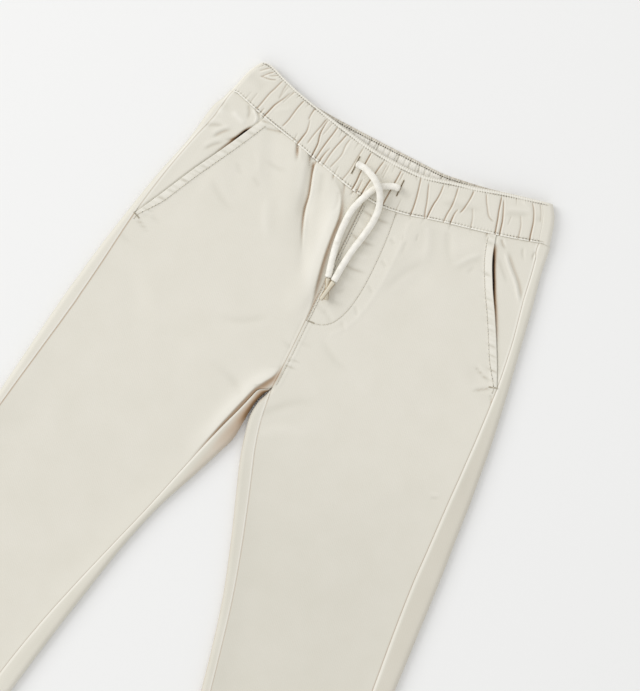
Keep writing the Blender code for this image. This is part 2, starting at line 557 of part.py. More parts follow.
def band_back():
    """The gathered back half: on the floor, and round both ends to the side seams on top."""
    up = np.array(BAND_STEPS)[:, None]
    left, right = band_ends(up)
    steps = np.array(ROLL_STEPS)[None, :]
    quarter = math.pi * BAND_ROLL / 2

    def end_roll(edge, facing, seam):
        depth = seam - SEAM_GAP / 2
        top = BAND_ROLL * float(roll_angle(depth, BAND_ROLL))
        if depth > BAND_ROLL:
            top = quarter + depth - BAND_ROLL
        arc = (top + (-quarter - top) * steps) * np.ones_like(edge)
        angle = np.clip(arc / BAND_ROLL, -math.pi / 2, math.pi / 2)
        inward = BAND_ROLL * (1 - np.cos(angle)) + np.maximum(np.abs(arc) - quarter, 0.0)
        nx = facing * np.cos(angle) / BAND_ROLL
        return edge - facing * inward, angle, nx, np.sin(angle) / (BAND_HEIGHT / 2)

    lx, la, lnx, lnz = end_roll(left, -1.0, BAND_SIDE_SEAMS[0])
    rx, ra, rnx, rnz = end_roll(right, 1.0, BAND_SIDE_SEAMS[1])
    share = gather_columns(BACK_GATHERS, up)
    fx = left + share * (right - left)
    floor = np.full_like(fx, -math.pi / 2)
    x = np.hstack((lx, fx, rx[:, ::-1]))
    angle = np.hstack((la, floor, ra[:, ::-1]))
    nx = np.hstack((lnx, np.zeros_like(fx), rnx[:, ::-1]))
    nz = np.hstack((lnz, np.full_like(fx, -1.0), rnz[:, ::-1]))
    z = BAND_HEIGHT * (1 + np.sin(angle)) / 2
    y = np.where(angle > 0, band_point(x, up, FRONT_SEAM, FRONT_TOP),
                 band_point(x, up, BACK_SEAM, BACK_TOP))
    depth = gathers(BACK_GATHERS, (x - left) / (right - left), up)
    depth[:, :lx.shape[1]] = 0.0
    depth[:, -rx.shape[1]:] = 0.0
    return band_wall("waistband_back", x, y, z, nx, nz, depth)


# ---------------------------------------------------------------- pockets and fly
FACING_UNDERLAP = 14.0      # how far the facing runs under the front panel
FACING_CLEAR = 0.8          # the mouth gapes this far above the facing
FACING_RISE = 0.45          # share of the mouth's width over which the facing climbs back up
FACING_STEPS = (0.0, 0.3, 0.5, 0.68, 0.84, 1.0)


def pocket_facing(side, name):
    """The cloth in the pocket mouth: under the front panel, then up to the side seam."""
    rows = np.array([row for row in PANEL_ROWS if row >= 78], dtype=float)[:, None]
    steps = np.array(FACING_STEPS)[None, :]

    def place(y):
        inner = mouth(side, y) - sign(side) * FACING_UNDERLAP
        outer = outline(side + "_side", y) - sign(side) * SEAM_GAP / 2
        return inner + (outer - inner) * steps

    x, y = settle(rows, place, FRONT_SEAM)
    z, nx, nz = skin(side, x, y)
    beyond = sign(side) * (x - mouth(side, y))
    width = np.maximum(sign(side) * (outline(side + "_side", y) - mouth(side, y)), 1.0)
    climb = smoothstep((beyond - 1.5) / np.maximum(width * FACING_RISE, 3.0))
    climb = climb * smoothstep((y - MOUTHS[0][0] - 6.0) / 22.0)
    low = CLOTH + FACING_CLEAR
    outer = grid(x, y, z - low * (1 - climb))
    return cloth_wall(name, outer, inwards(outer, nx, nz, CLOTH))


def fly_facing():
    """The mock fly's extra cloth, stitched to the underside of the wearer's left front."""
    rows = np.linspace(FLY_EDGE[0][0], FLY_EDGE[-1][0] - FLY_TOP_CLEAR, 9)[:, None]
    steps = np.linspace(0.0, 1.0, 6)[None, :]
    y = rows + 0.0 * steps
    inner = outline("r_seam", y) + FLY_INSET
    outer_x = glide(y, column(FLY_EDGE, FLY_COLUMNS, "y"), column(FLY_EDGE, FLY_COLUMNS, "x"))
    x = inner + (outer_x - inner) * steps
    z, nx, nz = skin("r", x, y)
    outer = grid(x, y, z - CLOTH - FLY_CLEAR)
    return cloth_wall("fly", outer, inwards(outer, nx, nz, FLY_CLOTH))


# ---------------------------------------------------------------- drawcord
def smooth_route(points, spacing):
    """Evenly spaced points on the smooth curve (Catmull-Rom) through a route's points."""
    route = np.array(points, dtype=float)
    padded = np.vstack((2 * route[0] - route[1], route, 2 * route[-1] - route[-2]))
    t = np.linspace(0.0, 1.0, 12, endpoint=False)[:, None]
    pieces = []
    for a, b, c, d in zip(padded, padded[1:], padded[2:], padded[3:]):
        pieces.append(0.5 * (2 * b + (c - a) * t + (2 * a - 5 * b + 4 * c - d) * t * t
                             + (3 * b - a - 3 * c + d) * t ** 3))
    curve = np.vstack(pieces + [route[-1:]])
    length = np.concatenate(([0.0], np.cumsum(np.linalg.norm(np.diff(curve, axis=0), axis=1))))
    count = int(round(length[-1] / spacing)) + 1
    marks = np.linspace(0.0, length[-1], count)
    return np.stack([np.interp(marks, length, curve[:, i]) for i in range(3)], axis=-1)


def cord(name, route):
    """A round cord along its route, closed at both ends."""
    points = to_row_frame(smooth_route(route, CORD_SPACING * CORD_DIAMETER))
    curve = bpy.data.curves.new(name, "CURVE")
    curve.dimensions = "3D"
    curve.bevel_depth = CORD_DIAMETER / 2 * MM
    curve.bevel_resolution = 2
    curve.use_fill_caps = True
    spline = curve.splines.new("POLY")
    spline.points.add(len(points) - 1)
    for point, place in zip(spline.points, points):
        point.co = (*place, 1.0)
    return add_object(name, curve, "cord")


def tip(name, ends):
    """A tapered tip: oval rings along the line between its two ends, closed by caps."""
    start, finish = (np.array(end, dtype=float) for end in ends)
    axis = (finish - start) / np.linalg.norm(finish - start)
    wide = np.cross((0.0, 0.0, 1.0), axis)
    wide /= np.linalg.norm(wide)
    tall = np.cross(axis, wide)
    turn = np.arange(TIP_SIDES) * 2 * math.pi / TIP_SIDES
    body = bmesh.new()
    rings = []
    for share, half_width, half_height in TIP_SECTIONS:
        centre = start + axis * TIP_LENGTH * share
        points = (centre + np.outer(np.cos(turn) * half_width, wide)
                  + np.outer(np.sin(turn) * half_height, tall))
        rings.append([body.verts.new(point) for point in to_row_frame(points)])
    for lower, upper in zip(rings, rings[1:]):
        for i in range(len(lower)):
            j = (i + 1) % len(lower)
            body.faces.new((lower[i], lower[j], upper[j], upper[i]))
    body.faces.new(rings[0][::-1])
    body.faces.new(rings[-1])
    bmesh.ops.recalc_face_normals(body, faces=body.faces)
    mesh = bpy.data.meshes.new(name)
    body.to_mesh(mesh)
    body.free()
    mesh.shade_smooth()
    mesh.set_sharp_from_angle(angle=SHARP_ANGLE)
    return add_object(name, mesh, "tip")


# ---------------------------------------------------------------- the whole garment
def main():
    for old in list(bpy.data.objects):
        bpy.data.objects.remove(old)
    front_panel("l", "front_right")
    front_panel("r", "front_left")
    back_panel("l", "back_right")
    back_panel("r", "back_left")
    band_front()
    band_back()
    pocket_facing("l", "pocket_facing_right")
    pocket_facing("r", "pocket_facing_left")
    fly_facing()
    for name, route in CORD_ROUTES.items():
        cord(name, route)
    for name, ends in TIPS.items():
        tip(name, ends)


main()
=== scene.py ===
"""Child's pull-on trousers in cotton twill, laid flat on white paper and seen from above.

Tables and sizes are in millimetres, measured from the fork of the legs: x to the viewer's
right, y towards the waist, z up.  add_piece moves them to the row's origin, in metres.
"""
import math

import bpy
import numpy as np
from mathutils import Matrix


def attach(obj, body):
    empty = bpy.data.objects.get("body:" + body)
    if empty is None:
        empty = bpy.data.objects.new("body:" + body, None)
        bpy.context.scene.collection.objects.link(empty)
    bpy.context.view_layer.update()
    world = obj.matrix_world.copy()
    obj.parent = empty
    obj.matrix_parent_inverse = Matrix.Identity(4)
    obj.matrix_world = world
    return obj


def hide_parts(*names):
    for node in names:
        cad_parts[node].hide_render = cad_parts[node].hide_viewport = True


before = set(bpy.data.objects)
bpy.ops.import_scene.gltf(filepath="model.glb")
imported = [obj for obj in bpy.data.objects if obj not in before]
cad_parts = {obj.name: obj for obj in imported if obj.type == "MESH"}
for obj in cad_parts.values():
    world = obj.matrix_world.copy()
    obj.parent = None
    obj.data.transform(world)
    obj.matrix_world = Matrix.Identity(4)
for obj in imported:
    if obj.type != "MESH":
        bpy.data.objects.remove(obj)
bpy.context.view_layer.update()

# ================================================================ camera, light and paper
# The garment lies on white photographer's paper and is photographed from straight above.
# The camera is turned 26 degrees, so the garment stands tilted in the picture.
MM = 0.001
FORK_PLACE = np.array([10.0, 172.7, 0.0])       # the fork, from the row's origin
VIEW_CENTRE = (22.8, 56.2)                      # what the middle of the photo shows
VIEW_TURN = math.radians(26.0)
CAMERA_HEIGHT = 2.2
SENSOR = 36.0
VIEW_LENGTH = 0.5666                            # long side of the photo, on the paper, m
PAPER_DROP = 0.0002                             # keeps the paper clear of the cloth
PAPER_SIZE = 3.0
PAPER_WHITE = "#f3f3f2"
BUMP_DEPTH = 0.0002                             # of paper, cord and twill, m
SKY_STRENGTH = 0.765
LAMP = {"left": 3.3, "up": 2.2, "height": 2.7, "size": 3.0, "power": 98.0}      # m and W


def linear(text):
    """An sRGB hex colour as linear red, green, blue and a full alpha."""
    parts = np.array([int(text[i:i + 2], 16) for i in (1, 3, 5)]) / 255.0
    curved = ((parts + 0.055) / 1.055) ** 2.4
    return (*np.where(parts <= 0.04045, parts / 12.92, curved).tolist(), 1.0)


def new_finish(name):
    """A material for one real finish."""
    finish = bpy.data.materials.new(name)
    finish.use_nodes = True
    return finish


def put(finish, source, socket):
    """Gives a node's input a plain value, or joins it to another node's output."""
    if isinstance(source, (float, tuple)):
        socket.default_value = source
    else:
        finish.node_tree.links.new(source, socket)


def node(finish, kind, settings=None, **inputs):
    """Adds one node; each input is a plain value or another node's output."""
    made = finish.node_tree.nodes.new(kind)
    for key, value in (settings or {}).items():
        setattr(made, key, value)
    for key, source in inputs.items():
        put(finish, source, made.inputs[key.replace("_", " ")])
    return made


def cloth_map(finish):
    """The place on a piece's surface, in metres, from the map that it carries."""
    return node(finish, "ShaderNodeUVMap", {"uv_map": "cloth"}).outputs["UV"]


def noise(finish, place, scale, detail, roughness=0.5):
    """Uneven spots, 0 to 1: scale is roughly their number in a metre."""
    made = node(finish, "ShaderNodeTexNoise", Vector=place, Scale=scale, Detail=detail, Roughness=roughness)
    return made.outputs["Fac"]


def reckon(finish, operation, *terms, clamp=False):
    """One step of arithmetic on plain numbers and other nodes' outputs."""
    made = node(finish, "ShaderNodeMath", {"operation": operation, "use_clamp": clamp})
    for socket, term in zip(made.inputs, terms):
        put(finish, term, socket)
    return made.outputs["Value"]


def ramp(finish, value, low, high):
    """Colours by a value: low and high are each a value and its colour."""
    made = node(finish, "ShaderNodeValToRGB", Fac=value)
    for element, (place, shown) in zip(made.color_ramp.elements, (low, high)):
        element.position = place
        element.color = shown
    return made.outputs["Color"]


def complete(finish, colour, height, strength, depth, roughness, sheen=0.0):
    """Gives a finish its colour, a bump of a depth in metres, and how matt and fluffy it is."""
    shader = finish.node_tree.nodes["Principled BSDF"]
    relief = node(finish, "ShaderNodeBump", Height=height, Strength=strength, Distance=depth)
    put(finish, colour, shader.inputs["Base Color"])
    put(finish, relief.outputs["Normal"], shader.inputs["Normal"])
    shader.inputs["Roughness"].default_value = roughness
    shader.inputs["Sheen Weight"].default_value = sheen


def view_point(left, up, height):
    """A place given in the picture's own directions, from the middle of the view, in metres."""
    across = np.array([math.cos(VIEW_TURN), math.sin(VIEW_TURN)])
    upwards = np.array([-math.sin(VIEW_TURN), math.cos(VIEW_TURN)])
    middle = (np.array(VIEW_CENTRE) + FORK_PLACE[:2]) * MM
    return (*(middle - across * left + upwards * up), height)


lens = bpy.data.cameras.new("camera")
lens.sensor_width = SENSOR
lens.lens = SENSOR * CAMERA_HEIGHT / VIEW_LENGTH
camera = bpy.data.objects.new("camera", lens)
camera.location = view_point(0.0, 0.0, CAMERA_HEIGHT)
camera.rotation_euler = (0.0, 0.0, VIEW_TURN)
bpy.context.scene.collection.objects.link(camera)
bpy.context.scene.camera = camera

softbox = bpy.data.lights.new("softbox", "AREA")
softbox.shape = "SQUARE"
softbox.size = LAMP["size"]
softbox.energy = LAMP["power"]
lamp = bpy.data.objects.new("softbox", softbox)
lamp.location = view_point(LAMP["left"], LAMP["up"], LAMP["height"])
aim = np.array(lamp.location) - np.array(view_point(0.0, 0.0, 0.0))
lamp.rotation_euler = (0.0, math.atan2(np.hypot(aim[0], aim[1]), aim[2]), math.atan2(aim[1], aim[0]))
bpy.context.scene.collection.objects.link(lamp)

sky = bpy.data.worlds.new("studio")
sky.use_nodes = True
sky.node_tree.nodes["Background"].inputs["Color"].default_value = (1.0, 1.0, 1.0, 1.0)
sky.node_tree.nodes["Background"].inputs["Strength"].default_value = SKY_STRENGTH
bpy.context.scene.world = sky
bpy.context.scene.view_settings.view_transform = "Standard"

paper_finish = new_finish("white paper")
# Matt white; its fibres only just break up the light.
fibres = noise(paper_finish, node(paper_finish, "ShaderNodeTexCoord").outputs["Object"], 900.0, 3.0)
complete(paper_finish, linear(PAPER_WHITE), fibres, 0.05, BUMP_DEPTH, 0.95)
half = PAPER_SIZE / 2
corners = ((-half, -half), (half, -half), (half, half), (-half, half))
sheet_of_paper = bpy.data.meshes.new("paper")
sheet_of_paper.from_pydata([(x, y, -PAPER_DROP) for x, y in corners], [], [(0, 1, 2, 3)])
sheet_of_paper.materials.append(paper_finish)
paper = bpy.data.objects.new("paper", sheet_of_paper)
bpy.context.scene.collection.objects.link(paper)

# ================================================================ drawcord
# A round braided cotton cord, 5.5 mm thick, runs through the waistband.  Its two ends come
# out of two buttonholes, cross once and hang side by side, each with a dipped, pressed tip.
CORD_DIAMETER = 5.5
CORD_POINT_SPACING = 4.5
CORD_RING_SPACING = 0.36
CORD_SIDES = 40
BRAID_STRANDS = 8           # strands of each hand round the cord
BRAID_PITCH = 15.0          # length in which a strand goes once round
BRAID_RELIEF = 0.22
BRAID_MIDDLE = 0.6          # the braid's height, 0 to 1, at the cord's stated thickness
CORD_END = {"start": 0.3, "run": 1.6}       # each end rounds off over this run
CORD_ROUTES = {
    "cord_right": ((-15.6, 202.5, 11.4), (-10, 202.4, 12.2), (-4, 200.9, 14.8), (4.1, 196.8, 17.5),
                   (8.6, 193.0, 17.6), (12.6, 188.4, 15.8), (16.1, 180.5, 12.0), (17.4, 172, 10.2),
                   (17.0, 162, 9.8), (15.0, 150, 9.8), (12.5, 138, 9.8), (11.0, 126, 9.8),
                   (10.2, 116, 10.4), (9.9, 108, 11.2)),
    "cord_left": ((25.4, 199.6, 11.4), (20.6, 199.3, 11.2), (15, 197.0, 11.0), (9.4, 193.2, 10.9),
                  (5.2, 188.0, 10.9), (2.2, 181, 10.8), (-0.8, 173, 9.9), (-2.7, 164, 9.8),
                  (-2.8, 150, 9.8), (-1.6, 137, 9.8), (0.8, 124, 9.8), (3.3, 113.5, 9.8),
                  (4.3, 109, 9.8)),
}
TIPS = {
    "tip_right": ((9.8, 107.4, 11.2), (6.8, 90.0, 14.2)),
    "tip_left": ((4.6, 108.3, 9.8), (11.0, 91.8, 8.2)),
}
TIP_LENGTH = 18.0
TIP_SIDES = 32
TIP_RINGS = 56
# share of the tip's length, half width, half height
TIP_SECTIONS = ((0.0, 0.3, 0.3), (0.005, 1.9, 1.7), (0.04, 2.45, 2.15), (0.10, 2.25, 2.0), (0.33, 1.9, 1.5),
                (0.78, 1.8, 1.4), (0.96, 1.7, 1.3), (0.995, 1.1, 0.8), (1.0, 0.2, 0.2))
CORD_COLOUR = {"light": "#f8f5ed", "dark": "#dfdbcf"}
TIP_COLOUR = {"flat": "#d9d1bd", "edge": "#9c8563"}


def smooth_route(points, spacing):
    """Evenly spaced points on the smooth curve (Catmull-Rom) through a route's points."""
    route = np.array(points, dtype=float)
    padded = np.vstack((2 * route[0] - route[1], route, 2 * route[-1] - route[-2]))
    t = np.linspace(0.0, 1.0, 12, endpoint=False)[:, None]
    pieces = []
    for a, b, c, d in zip(padded, padded[1:], padded[2:], padded[3:]):
        pieces.append(0.5 * (2 * b + (c - a) * t + (2 * a - 5 * b + 4 * c - d) * t * t
                             + (3 * b - a - 3 * c + d) * t ** 3))
    curve = np.vstack(pieces + [route[-1:]])
    run = run_along(curve)
    marks = np.linspace(0.0, run[-1], int(round(run[-1] / spacing)) + 1)
    return np.stack([np.interp(marks, run, curve[:, i]) for i in range(curve.shape[1])], axis=-1)


def unit(vectors):
    """The same directions, with a length of 1."""
    return vectors / np.maximum(np.linalg.norm(vectors, axis=-1, keepdims=True), 1e-9)


def add_piece(name, points, faces, corner_uv, finish, shade=None):
    """A piece from points in mm, faces, a map in mm for each face corner and a painted shade per point."""
    mesh = bpy.data.meshes.new(name)
    mesh.from_pydata(((points + FORK_PLACE) * MM).tolist(), [], faces)
    mesh.uv_layers.new(name="cloth").data.foreach_set("uv", (corner_uv * MM).ravel())
    if shade is not None:
        layer = mesh.attributes.new("shade", "FLOAT", "POINT")
        layer.data.foreach_set("value", shade.ravel())
    mesh.materials.append(finish)
    mesh.shade_smooth()
    piece = bpy.data.objects.new(name, mesh)
    bpy.context.scene.collection.objects.link(piece)
    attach(piece, "root")
    return piece


def ring_quads(index):
    """Faces between neighbouring rings of points; a ring's last point joins its first."""
    after = np.roll(index, -1, axis=-1)
    corners = (index[..., :-1, :], after[..., :-1, :], after[..., 1:, :], index[..., 1:, :])
    return np.stack(corners, axis=-1).reshape(-1, 4)


def run_along(line):
    """Distance from a line's start to each of its points."""
    return np.concatenate(([0.0], np.cumsum(np.linalg.norm(np.diff(line, axis=0), axis=1))))


def tube(name, path, radii, finish):
    """A closed tube: at each point of the path stands a ring, square to it.

    radii gives the ring's half width and half height, by place on the path and by angle."""
    ahead = unit(np.gradient(path, axis=0))
    level = unit(np.cross((0.0, 0.0, 1.0), ahead))
    up = np.cross(ahead, level)
    run = run_along(path)
    sides = radii[0].shape[1]
    turn = np.arange(sides) * 2 * math.pi / sides
    points = (path[:, None] + level[:, None] * (radii[0] * np.cos(turn))[..., None]
              + up[:, None] * (radii[1] * np.sin(turn))[..., None])
    rings = len(path)
    index = np.arange(rings * sides).reshape(rings, sides)
    faces = ring_quads(index).tolist() + [index[0, ::-1].tolist(), index[-1].tolist()]
    around = np.arange(sides + 1) * 2 * math.pi / sides * CORD_DIAMETER / 2
    chart = np.stack(np.broadcast_arrays(around[None, :], run[:, None]), axis=-1)
    corner = np.stack((chart[:-1, :-1], chart[:-1, 1:], chart[1:, 1:], chart[1:, :-1]), axis=2)
    caps = np.vstack((chart[0, :-1][::-1], chart[-1, :-1]))
    return add_piece(name, points.reshape(-1, 3), faces, np.vstack((corner.reshape(-1, 2), caps)),
                     finish)


def braid(turn, run):
    """Height of a braid, 0 to 1: two hands of strands cross, and each cell shows the one on top.

    Across a strand the height is sqrt(1 - 3.4 a^2), along it 1 - 1.6 b^2, with a and b from
    -0.5 to 0.5 in each cell; cells take turns, as on a chessboard."""
    first = turn / (2 * math.pi) * BRAID_STRANDS + run / BRAID_PITCH * BRAID_STRANDS
    second = turn / (2 * math.pi) * BRAID_STRANDS - run / BRAID_PITCH * BRAID_STRANDS
    on_top = (np.floor(first) + np.floor(second)) % 2 == 0
    across = np.where(on_top, first - np.floor(first), second - np.floor(second)) - 0.5
    length = np.where(on_top, second - np.floor(second), first - np.floor(first)) - 0.5
    return np.sqrt(np.clip(1 - 3.4 * across ** 2, 0.0, 1.0)) * (1 - 1.6 * length ** 2)


cord_finish = new_finish("off-white braided cotton")
# Fluffy and matt, whiter than the twill, with soft darker patches.
uv = cloth_map(cord_finish)
fuzz = noise(cord_finish, uv, 2600.0, 4.0)
patches = reckon(cord_finish, "MULTIPLY", fuzz, noise(cord_finish, uv, 160.0, 2.0))
tint = ramp(cord_finish, patches, (0.08, linear(CORD_COLOUR["dark"])), (0.32, linear(CORD_COLOUR["light"])))
complete(cord_finish, tint, fuzz, 0.5, BUMP_DEPTH, 0.95, sheen=0.25)

tip_finish = new_finish("dipped and pressed tip")
# Hard and smooth, beige on its flat faces and browner on its edges, with a low gloss.
uv = cloth_map(tip_finish)
around = node(tip_finish, "ShaderNodeSeparateXYZ", Vector=uv).outputs["X"]
half_turns = reckon(tip_finish, "MULTIPLY", around, 2.0 / (CORD_DIAMETER / 2 * MM))
grain = noise(tip_finish, uv, 700.0, 3.0)
side_on = reckon(tip_finish, "ADD", reckon(tip_finish, "COSINE", half_turns), grain)
tint = ramp(tip_finish, side_on, (0.35, linear(TIP_COLOUR["flat"])), (1.0, linear(TIP_COLOUR["edge"])))
complete(tip_finish, tint, grain, 0.2, BUMP_DEPTH, 0.45)

for name, ends in TIPS.items():
    start, finish_point = np.array(ends)
    ahead = unit(finish_point - start)
    share = np.interp(np.linspace(0, 1, TIP_RINGS), (0.0, 0.2, 0.8, 1.0), (0.0, 0.05, 0.95, 1.0))
    section = np.array(TIP_SECTIONS)
    wide, tall = (np.interp(share, section[:, 0], section[:, k]) for k in (1, 2))
    path = start + ahead * (TIP_LENGTH * share)[:, None]
    ones = np.ones((1, TIP_SIDES))
    tip = tube(name + "_pressed", path, (wide[:, None] * ones, tall[:, None] * ones), tip_finish)
    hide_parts(name)

for name, route in CORD_ROUTES.items():
    line = smooth_route(route, CORD_POINT_SPACING)
    path = smooth_route(line, CORD_RING_SPACING)
    run = np.linspace(0.0, np.linalg.norm(np.diff(path, axis=0), axis=1).sum(), len(path))[:, None]
    turn = (np.arange(CORD_SIDES) * 2 * math.pi / CORD_SIDES)[None, :]
    ends = np.clip((np.minimum(run, run[-1] - run) + CORD_END["start"]) / CORD_END["run"], 0.0, 1.0)
    radius = CORD_DIAMETER / 2 + BRAID_RELIEF * (braid(turn, run) - BRAID_MIDDLE)
    radius = radius * np.sqrt(1 - (1 - ends) ** 2)
    cord = tube(name + "_braided", path, (radius, radius), cord_finish)
    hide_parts(name)
    tip = bpy.data.objects["tip" + name[4:] + "_pressed"]
    place = (line + FORK_PLACE) * MM
    length = float(np.linalg.norm(np.diff(place, axis=0), axis=1).sum())

# ================================================================ leg panels
# Four panels of stone-coloured cotton twill, garment-washed and pressed: two fronts and two
# backs.  The backs lie flat and roll up round both edges of each leg, so that the side seam
# and the inseam lie on top, where the fronts' turned edges meet them.
CLOTH = 0.8             # twill with its seam allowances, as it shows at an edge
SEAM_GAP = -0.12        # the turned edges of a seam press into each other
EDGE_HEIGHT = 6.4       # height of the rolled edges
ROLL = 4.0              # how far a rolled edge reaches in from the outline
QUARTER = math.pi * ROLL / 2            # arc length from its middle to the floor, or to the top
HEM_Y = -590.0
WAIST_Y = 180.0
SHIFT_START_Y = 40.0    # rows above this bend to follow the waistband seam
EDGE_FADE = 18.0        # reach of the higher cloth beside an outer edge
INSEAM_FADE = 16.0
QUIET_RUN = 12.0        # folds fade out over this run, beside a rolled edge
SETTLE_ROUNDS = 6
# Rows are closer together where the photo shows more: height to start from, distance apart.
ROW_STEPS = ((HEM_Y, 6.0), (-325.0, 3.0), (-60.0, 1.6), (90.0, 0.95))
EDGE_STEPS = (0.0, 0.35, 0.75, 1.25, 2.0)     # extra rows and columns beside a turned edge
FRONT_FINE, FRONT_STEP = 72.0, {"fine": 0.95, "wide": 1.7}   # fine columns beside the centre
ROLL_COLUMNS = 21
FLOOR_COLUMNS = 30
FLOOR_MARGIN = 5.0
TURNED_EDGE = {"radius": 0.6, "depth": 0.2}  # a seam: both edges turn down into it
HEM_DEPTH = 20.0
# Besides its own light and dark, the twill carries four painted colours that each piece's shade mixes in: a
# grey and a brown for painted shade in hollows, a near-black for painted shadow in deep gaps, and a pale one
# for painted highlights.
CLOTH_COLOUR = {"light": "#e7e3d8", "dark": "#dedacd", "painted_highlight": "#f6f3ea",
                "dip_shade": "#8f8d78", "hollow_shade": "#a07c55", "deep": "#2e1f15"}
MIX_A, MIX_B, MIX_RESULT = 6, 7, 2      # a colour Mix node's own sockets
TWILL_SPACING = 1.7754  # real twill lines stand about 0.5 mm apart; drawn coarser so that they show
WAVE_RUN = 0.4442883    # spacing of a diagonal wave's lines at scale 1: pi * sqrt(2) / 10
DIAGONAL_LINES = {"wave_type": "BANDS", "bands_direction": "DIAGONAL"}
# ---------------------------------------------------------------- outline tables, mm
# One row for each section across the legs.  "out" is the outline, "side" the side seam on
# top, "seam" the centre front above the fork and the inseam below it, "edge" the leg's
# inner outline.  Above the fork "edge" is not used.
SECTION_COLUMNS = ("y", "l_out", "l_side", "l_seam", "l_edge",
                   "r_edge", "r_seam", "r_side", "r_out")
SECTIONS = (
    (216, -134.0, -131.6, 3.3, 3.3, 3.3, 3.3, 146.5, 156.5),
    (205, -136.8, -134.5, 3.3, 3.3, 3.3, 3.3, 147.6, 157.9),
    (196, -141.4, -135.8, 3.3, 3.3, 3.3, 3.3, 150.4, 158.9),
    (186, -143.6, -137.6, 3.3, 3.3, 3.3, 3.3, 152.5, 160.4),
    (164, -147.3, -144.3, 3.3, 3.3, 3.3, 3.3, 156.0, 164.9),
    (123, -158.5, -154.5, 3.3, 3.3, 3.3, 3.3, 164.0, 172.0),
    (82, -168.0, -162.0, 3.3, 3.3, 3.3, 3.3, 169.0, 179.0),
    (41, -176.5, -167.3, 3.3, 3.3, 3.3, 3.3, 171.5, 185.0),
    (18, -180.5, -170.5, 2.9, 2.9, 2.9, 2.9, 172.4, 187.5),
    (8, -182.3, -172.0, 2.5, 2.5, 2.5, 2.5, 172.8, 188.6),
    (1.5, -183.4, -172.8, -7.2, -0.3, 0.9, 3.4, 173.0, 189.3),
    (-8, -184.8, -174.5, -10.2, -3.8, -2.6, 4.6, 173.3, 190.2),
    (-18, -186.3, -176.2, -13.3, -5.4, -3.7, 6.0, 173.7, 191.0),
    (-41, -189.5, -180.4, -21.3, -7.2, 0.4, 11.5, 174.7, 192.8),
    (-61, -192.3, -184.0, -27.5, -14.0, 6.3, 18.3, 175.6, 194.6),
    (-82, -195.2, -187.8, -33.6, -22.3, 13.9, 25.4, 176.4, 196.2),
    (-123, -200.2, -194.5, -45.3, -38.8, 28.5, 38.5, 179.6, 198.8),
    (-164, -205.0, -198.5, -58.2, -50.8, 41.6, 50.0, 183.7, 201.3),
    (-205, -209.5, -202.0, -71.0, -60.0, 51.7, 59.4, 187.8, 203.8),
    (-246, -214.0, -205.5, -82.8, -68.7, 60.3, 68.2, 191.5, 206.5),
    (-291, -219.0, -209.5, -93.5, -77.5, 69.0, 77.5, 195.0, 209.5),
    (-440, -235.5, -224.5, -120.0, -104.5, 90.5, 101.0, 206.5, 220.5),
    (-590, -252.0, -240.0, -144.0, -131.0, 111.0, 123.0, 219.0, 232.0),
)
# The slanted pocket mouths, from the bartack up to the waistband: y and x.
MOUTHS = {
    "l": ((86.4, -161.5), (107, -150.4), (140, -133.6), (163, -120.8), (185, -109.0), (205, -99.0)),
    "r": ((86.4, 168.9), (107, 159.0), (140, 141.0), (163, 127.5), (185, 117.0), (205, 111.5)),
}
MOUTH_FOOT = MOUTHS["l"][0][0]
FORK_TOP = 8.0              # above it the two fronts meet at the centre
# The waistband seam, front and back: x and y.
FRONT_SEAM = ((-128, 212.0), (-98, 203.2), (-66, 195.8), (-33, 187.3), (0, 180.7), (17, 180.0),
              (33, 181.8), (66, 190.2), (98, 197.2), (125, 203.8), (150, 211.0))
BACK_SEAM = ((-128, 212.0), (-108, 206.8), (-86, 202.0), (-56, 197.6), (-20, 195.1), (11, 194.6),
             (42, 195.1), (78, 197.6), (108, 201.7), (130, 206.1), (150, 211.0))
# The waistband's two ends, at its seam and at its free edge.
BAND_ENDS = {"bottom": (-134.2, 156.5), "top": (-121.5, 143.5)}
# Height of the cloth's top, away from the edges: y and height.
HEIGHTS = ((-590, 4.2), (-291, 4.3), (-123, 4.7), (-41, 5.6), (8, 6.1), (60, 6.0),
           (120, 6.3), (185, 6.5), (216, 6.5))

# The largest folds of the front: from one end to the other, with the half width and the
# height of a ridge, or the depth of a trough, below zero: x0, y0, x1, y1, width, height.
FOLDS = (
    (-49, 190, -38, 152, 4.5, -2.0),
    (-38, 152, -20, 112, 5.0, -1.1),
    (-60, 186, -47, 140, 9.0, 0.9),
    (-28, 182, -14, 150, 8.0, 1.3),
    (-14, 150, -10, 84, 9.0, 1.1),
    (2, 176, 1, 84, 4.0, -0.9),
    (52, 178, 46, 132, 8.0, 0.7),
    (80, 170, 70, 138, 9.0, -0.6),
    (72, 160, 104, 184, 9.0, 0.6),
    (-86, 190, -74, 164, 7.0, -0.7),
    (-150, 30, -96, 4, 16.0, -0.5),
    (150, 88, 166, 78, 5.0, -0.7),
    (120, -30, 150, -8, 14.0, 0.4),
)
# How the back panels rise from the floor to the fork: y, height of their inner end, the run
# over which it falls to the floor.
RISES = ((8, 3.6, 4.0), (18, 2.7, 8.0), (30, 1.2, 13.0), (45, 0.3, 17.0), (61, 0.0, 20.0),
         (216, 0.0, 20.0))
# How far the back panels' inner edges drop as they pass under the fork: y, drop.
FORK = ((-18, 0.0), (-8, 0.1), (1.5, 0.8), (8, 1.2))
# How shaded each leg's inner edge is, by height: the wearer's right leg turns from the light.
INNER_SHADE = {
    "l": ((-590, 0.1), (-300, 0.15), (-120, 0.24), (-60, 0.4), (-32, 0.8), (-20, 1.4), (-8, 1.9), (8, 1.9),
          (14, 0.9), (24, 0.0)),
    "r": ((-590, 0.2), (-60, 0.16), (-24, 0.1), (-14, 0.15), (-2, 0.35), (8, 0.6), (20, 0.0)),
}
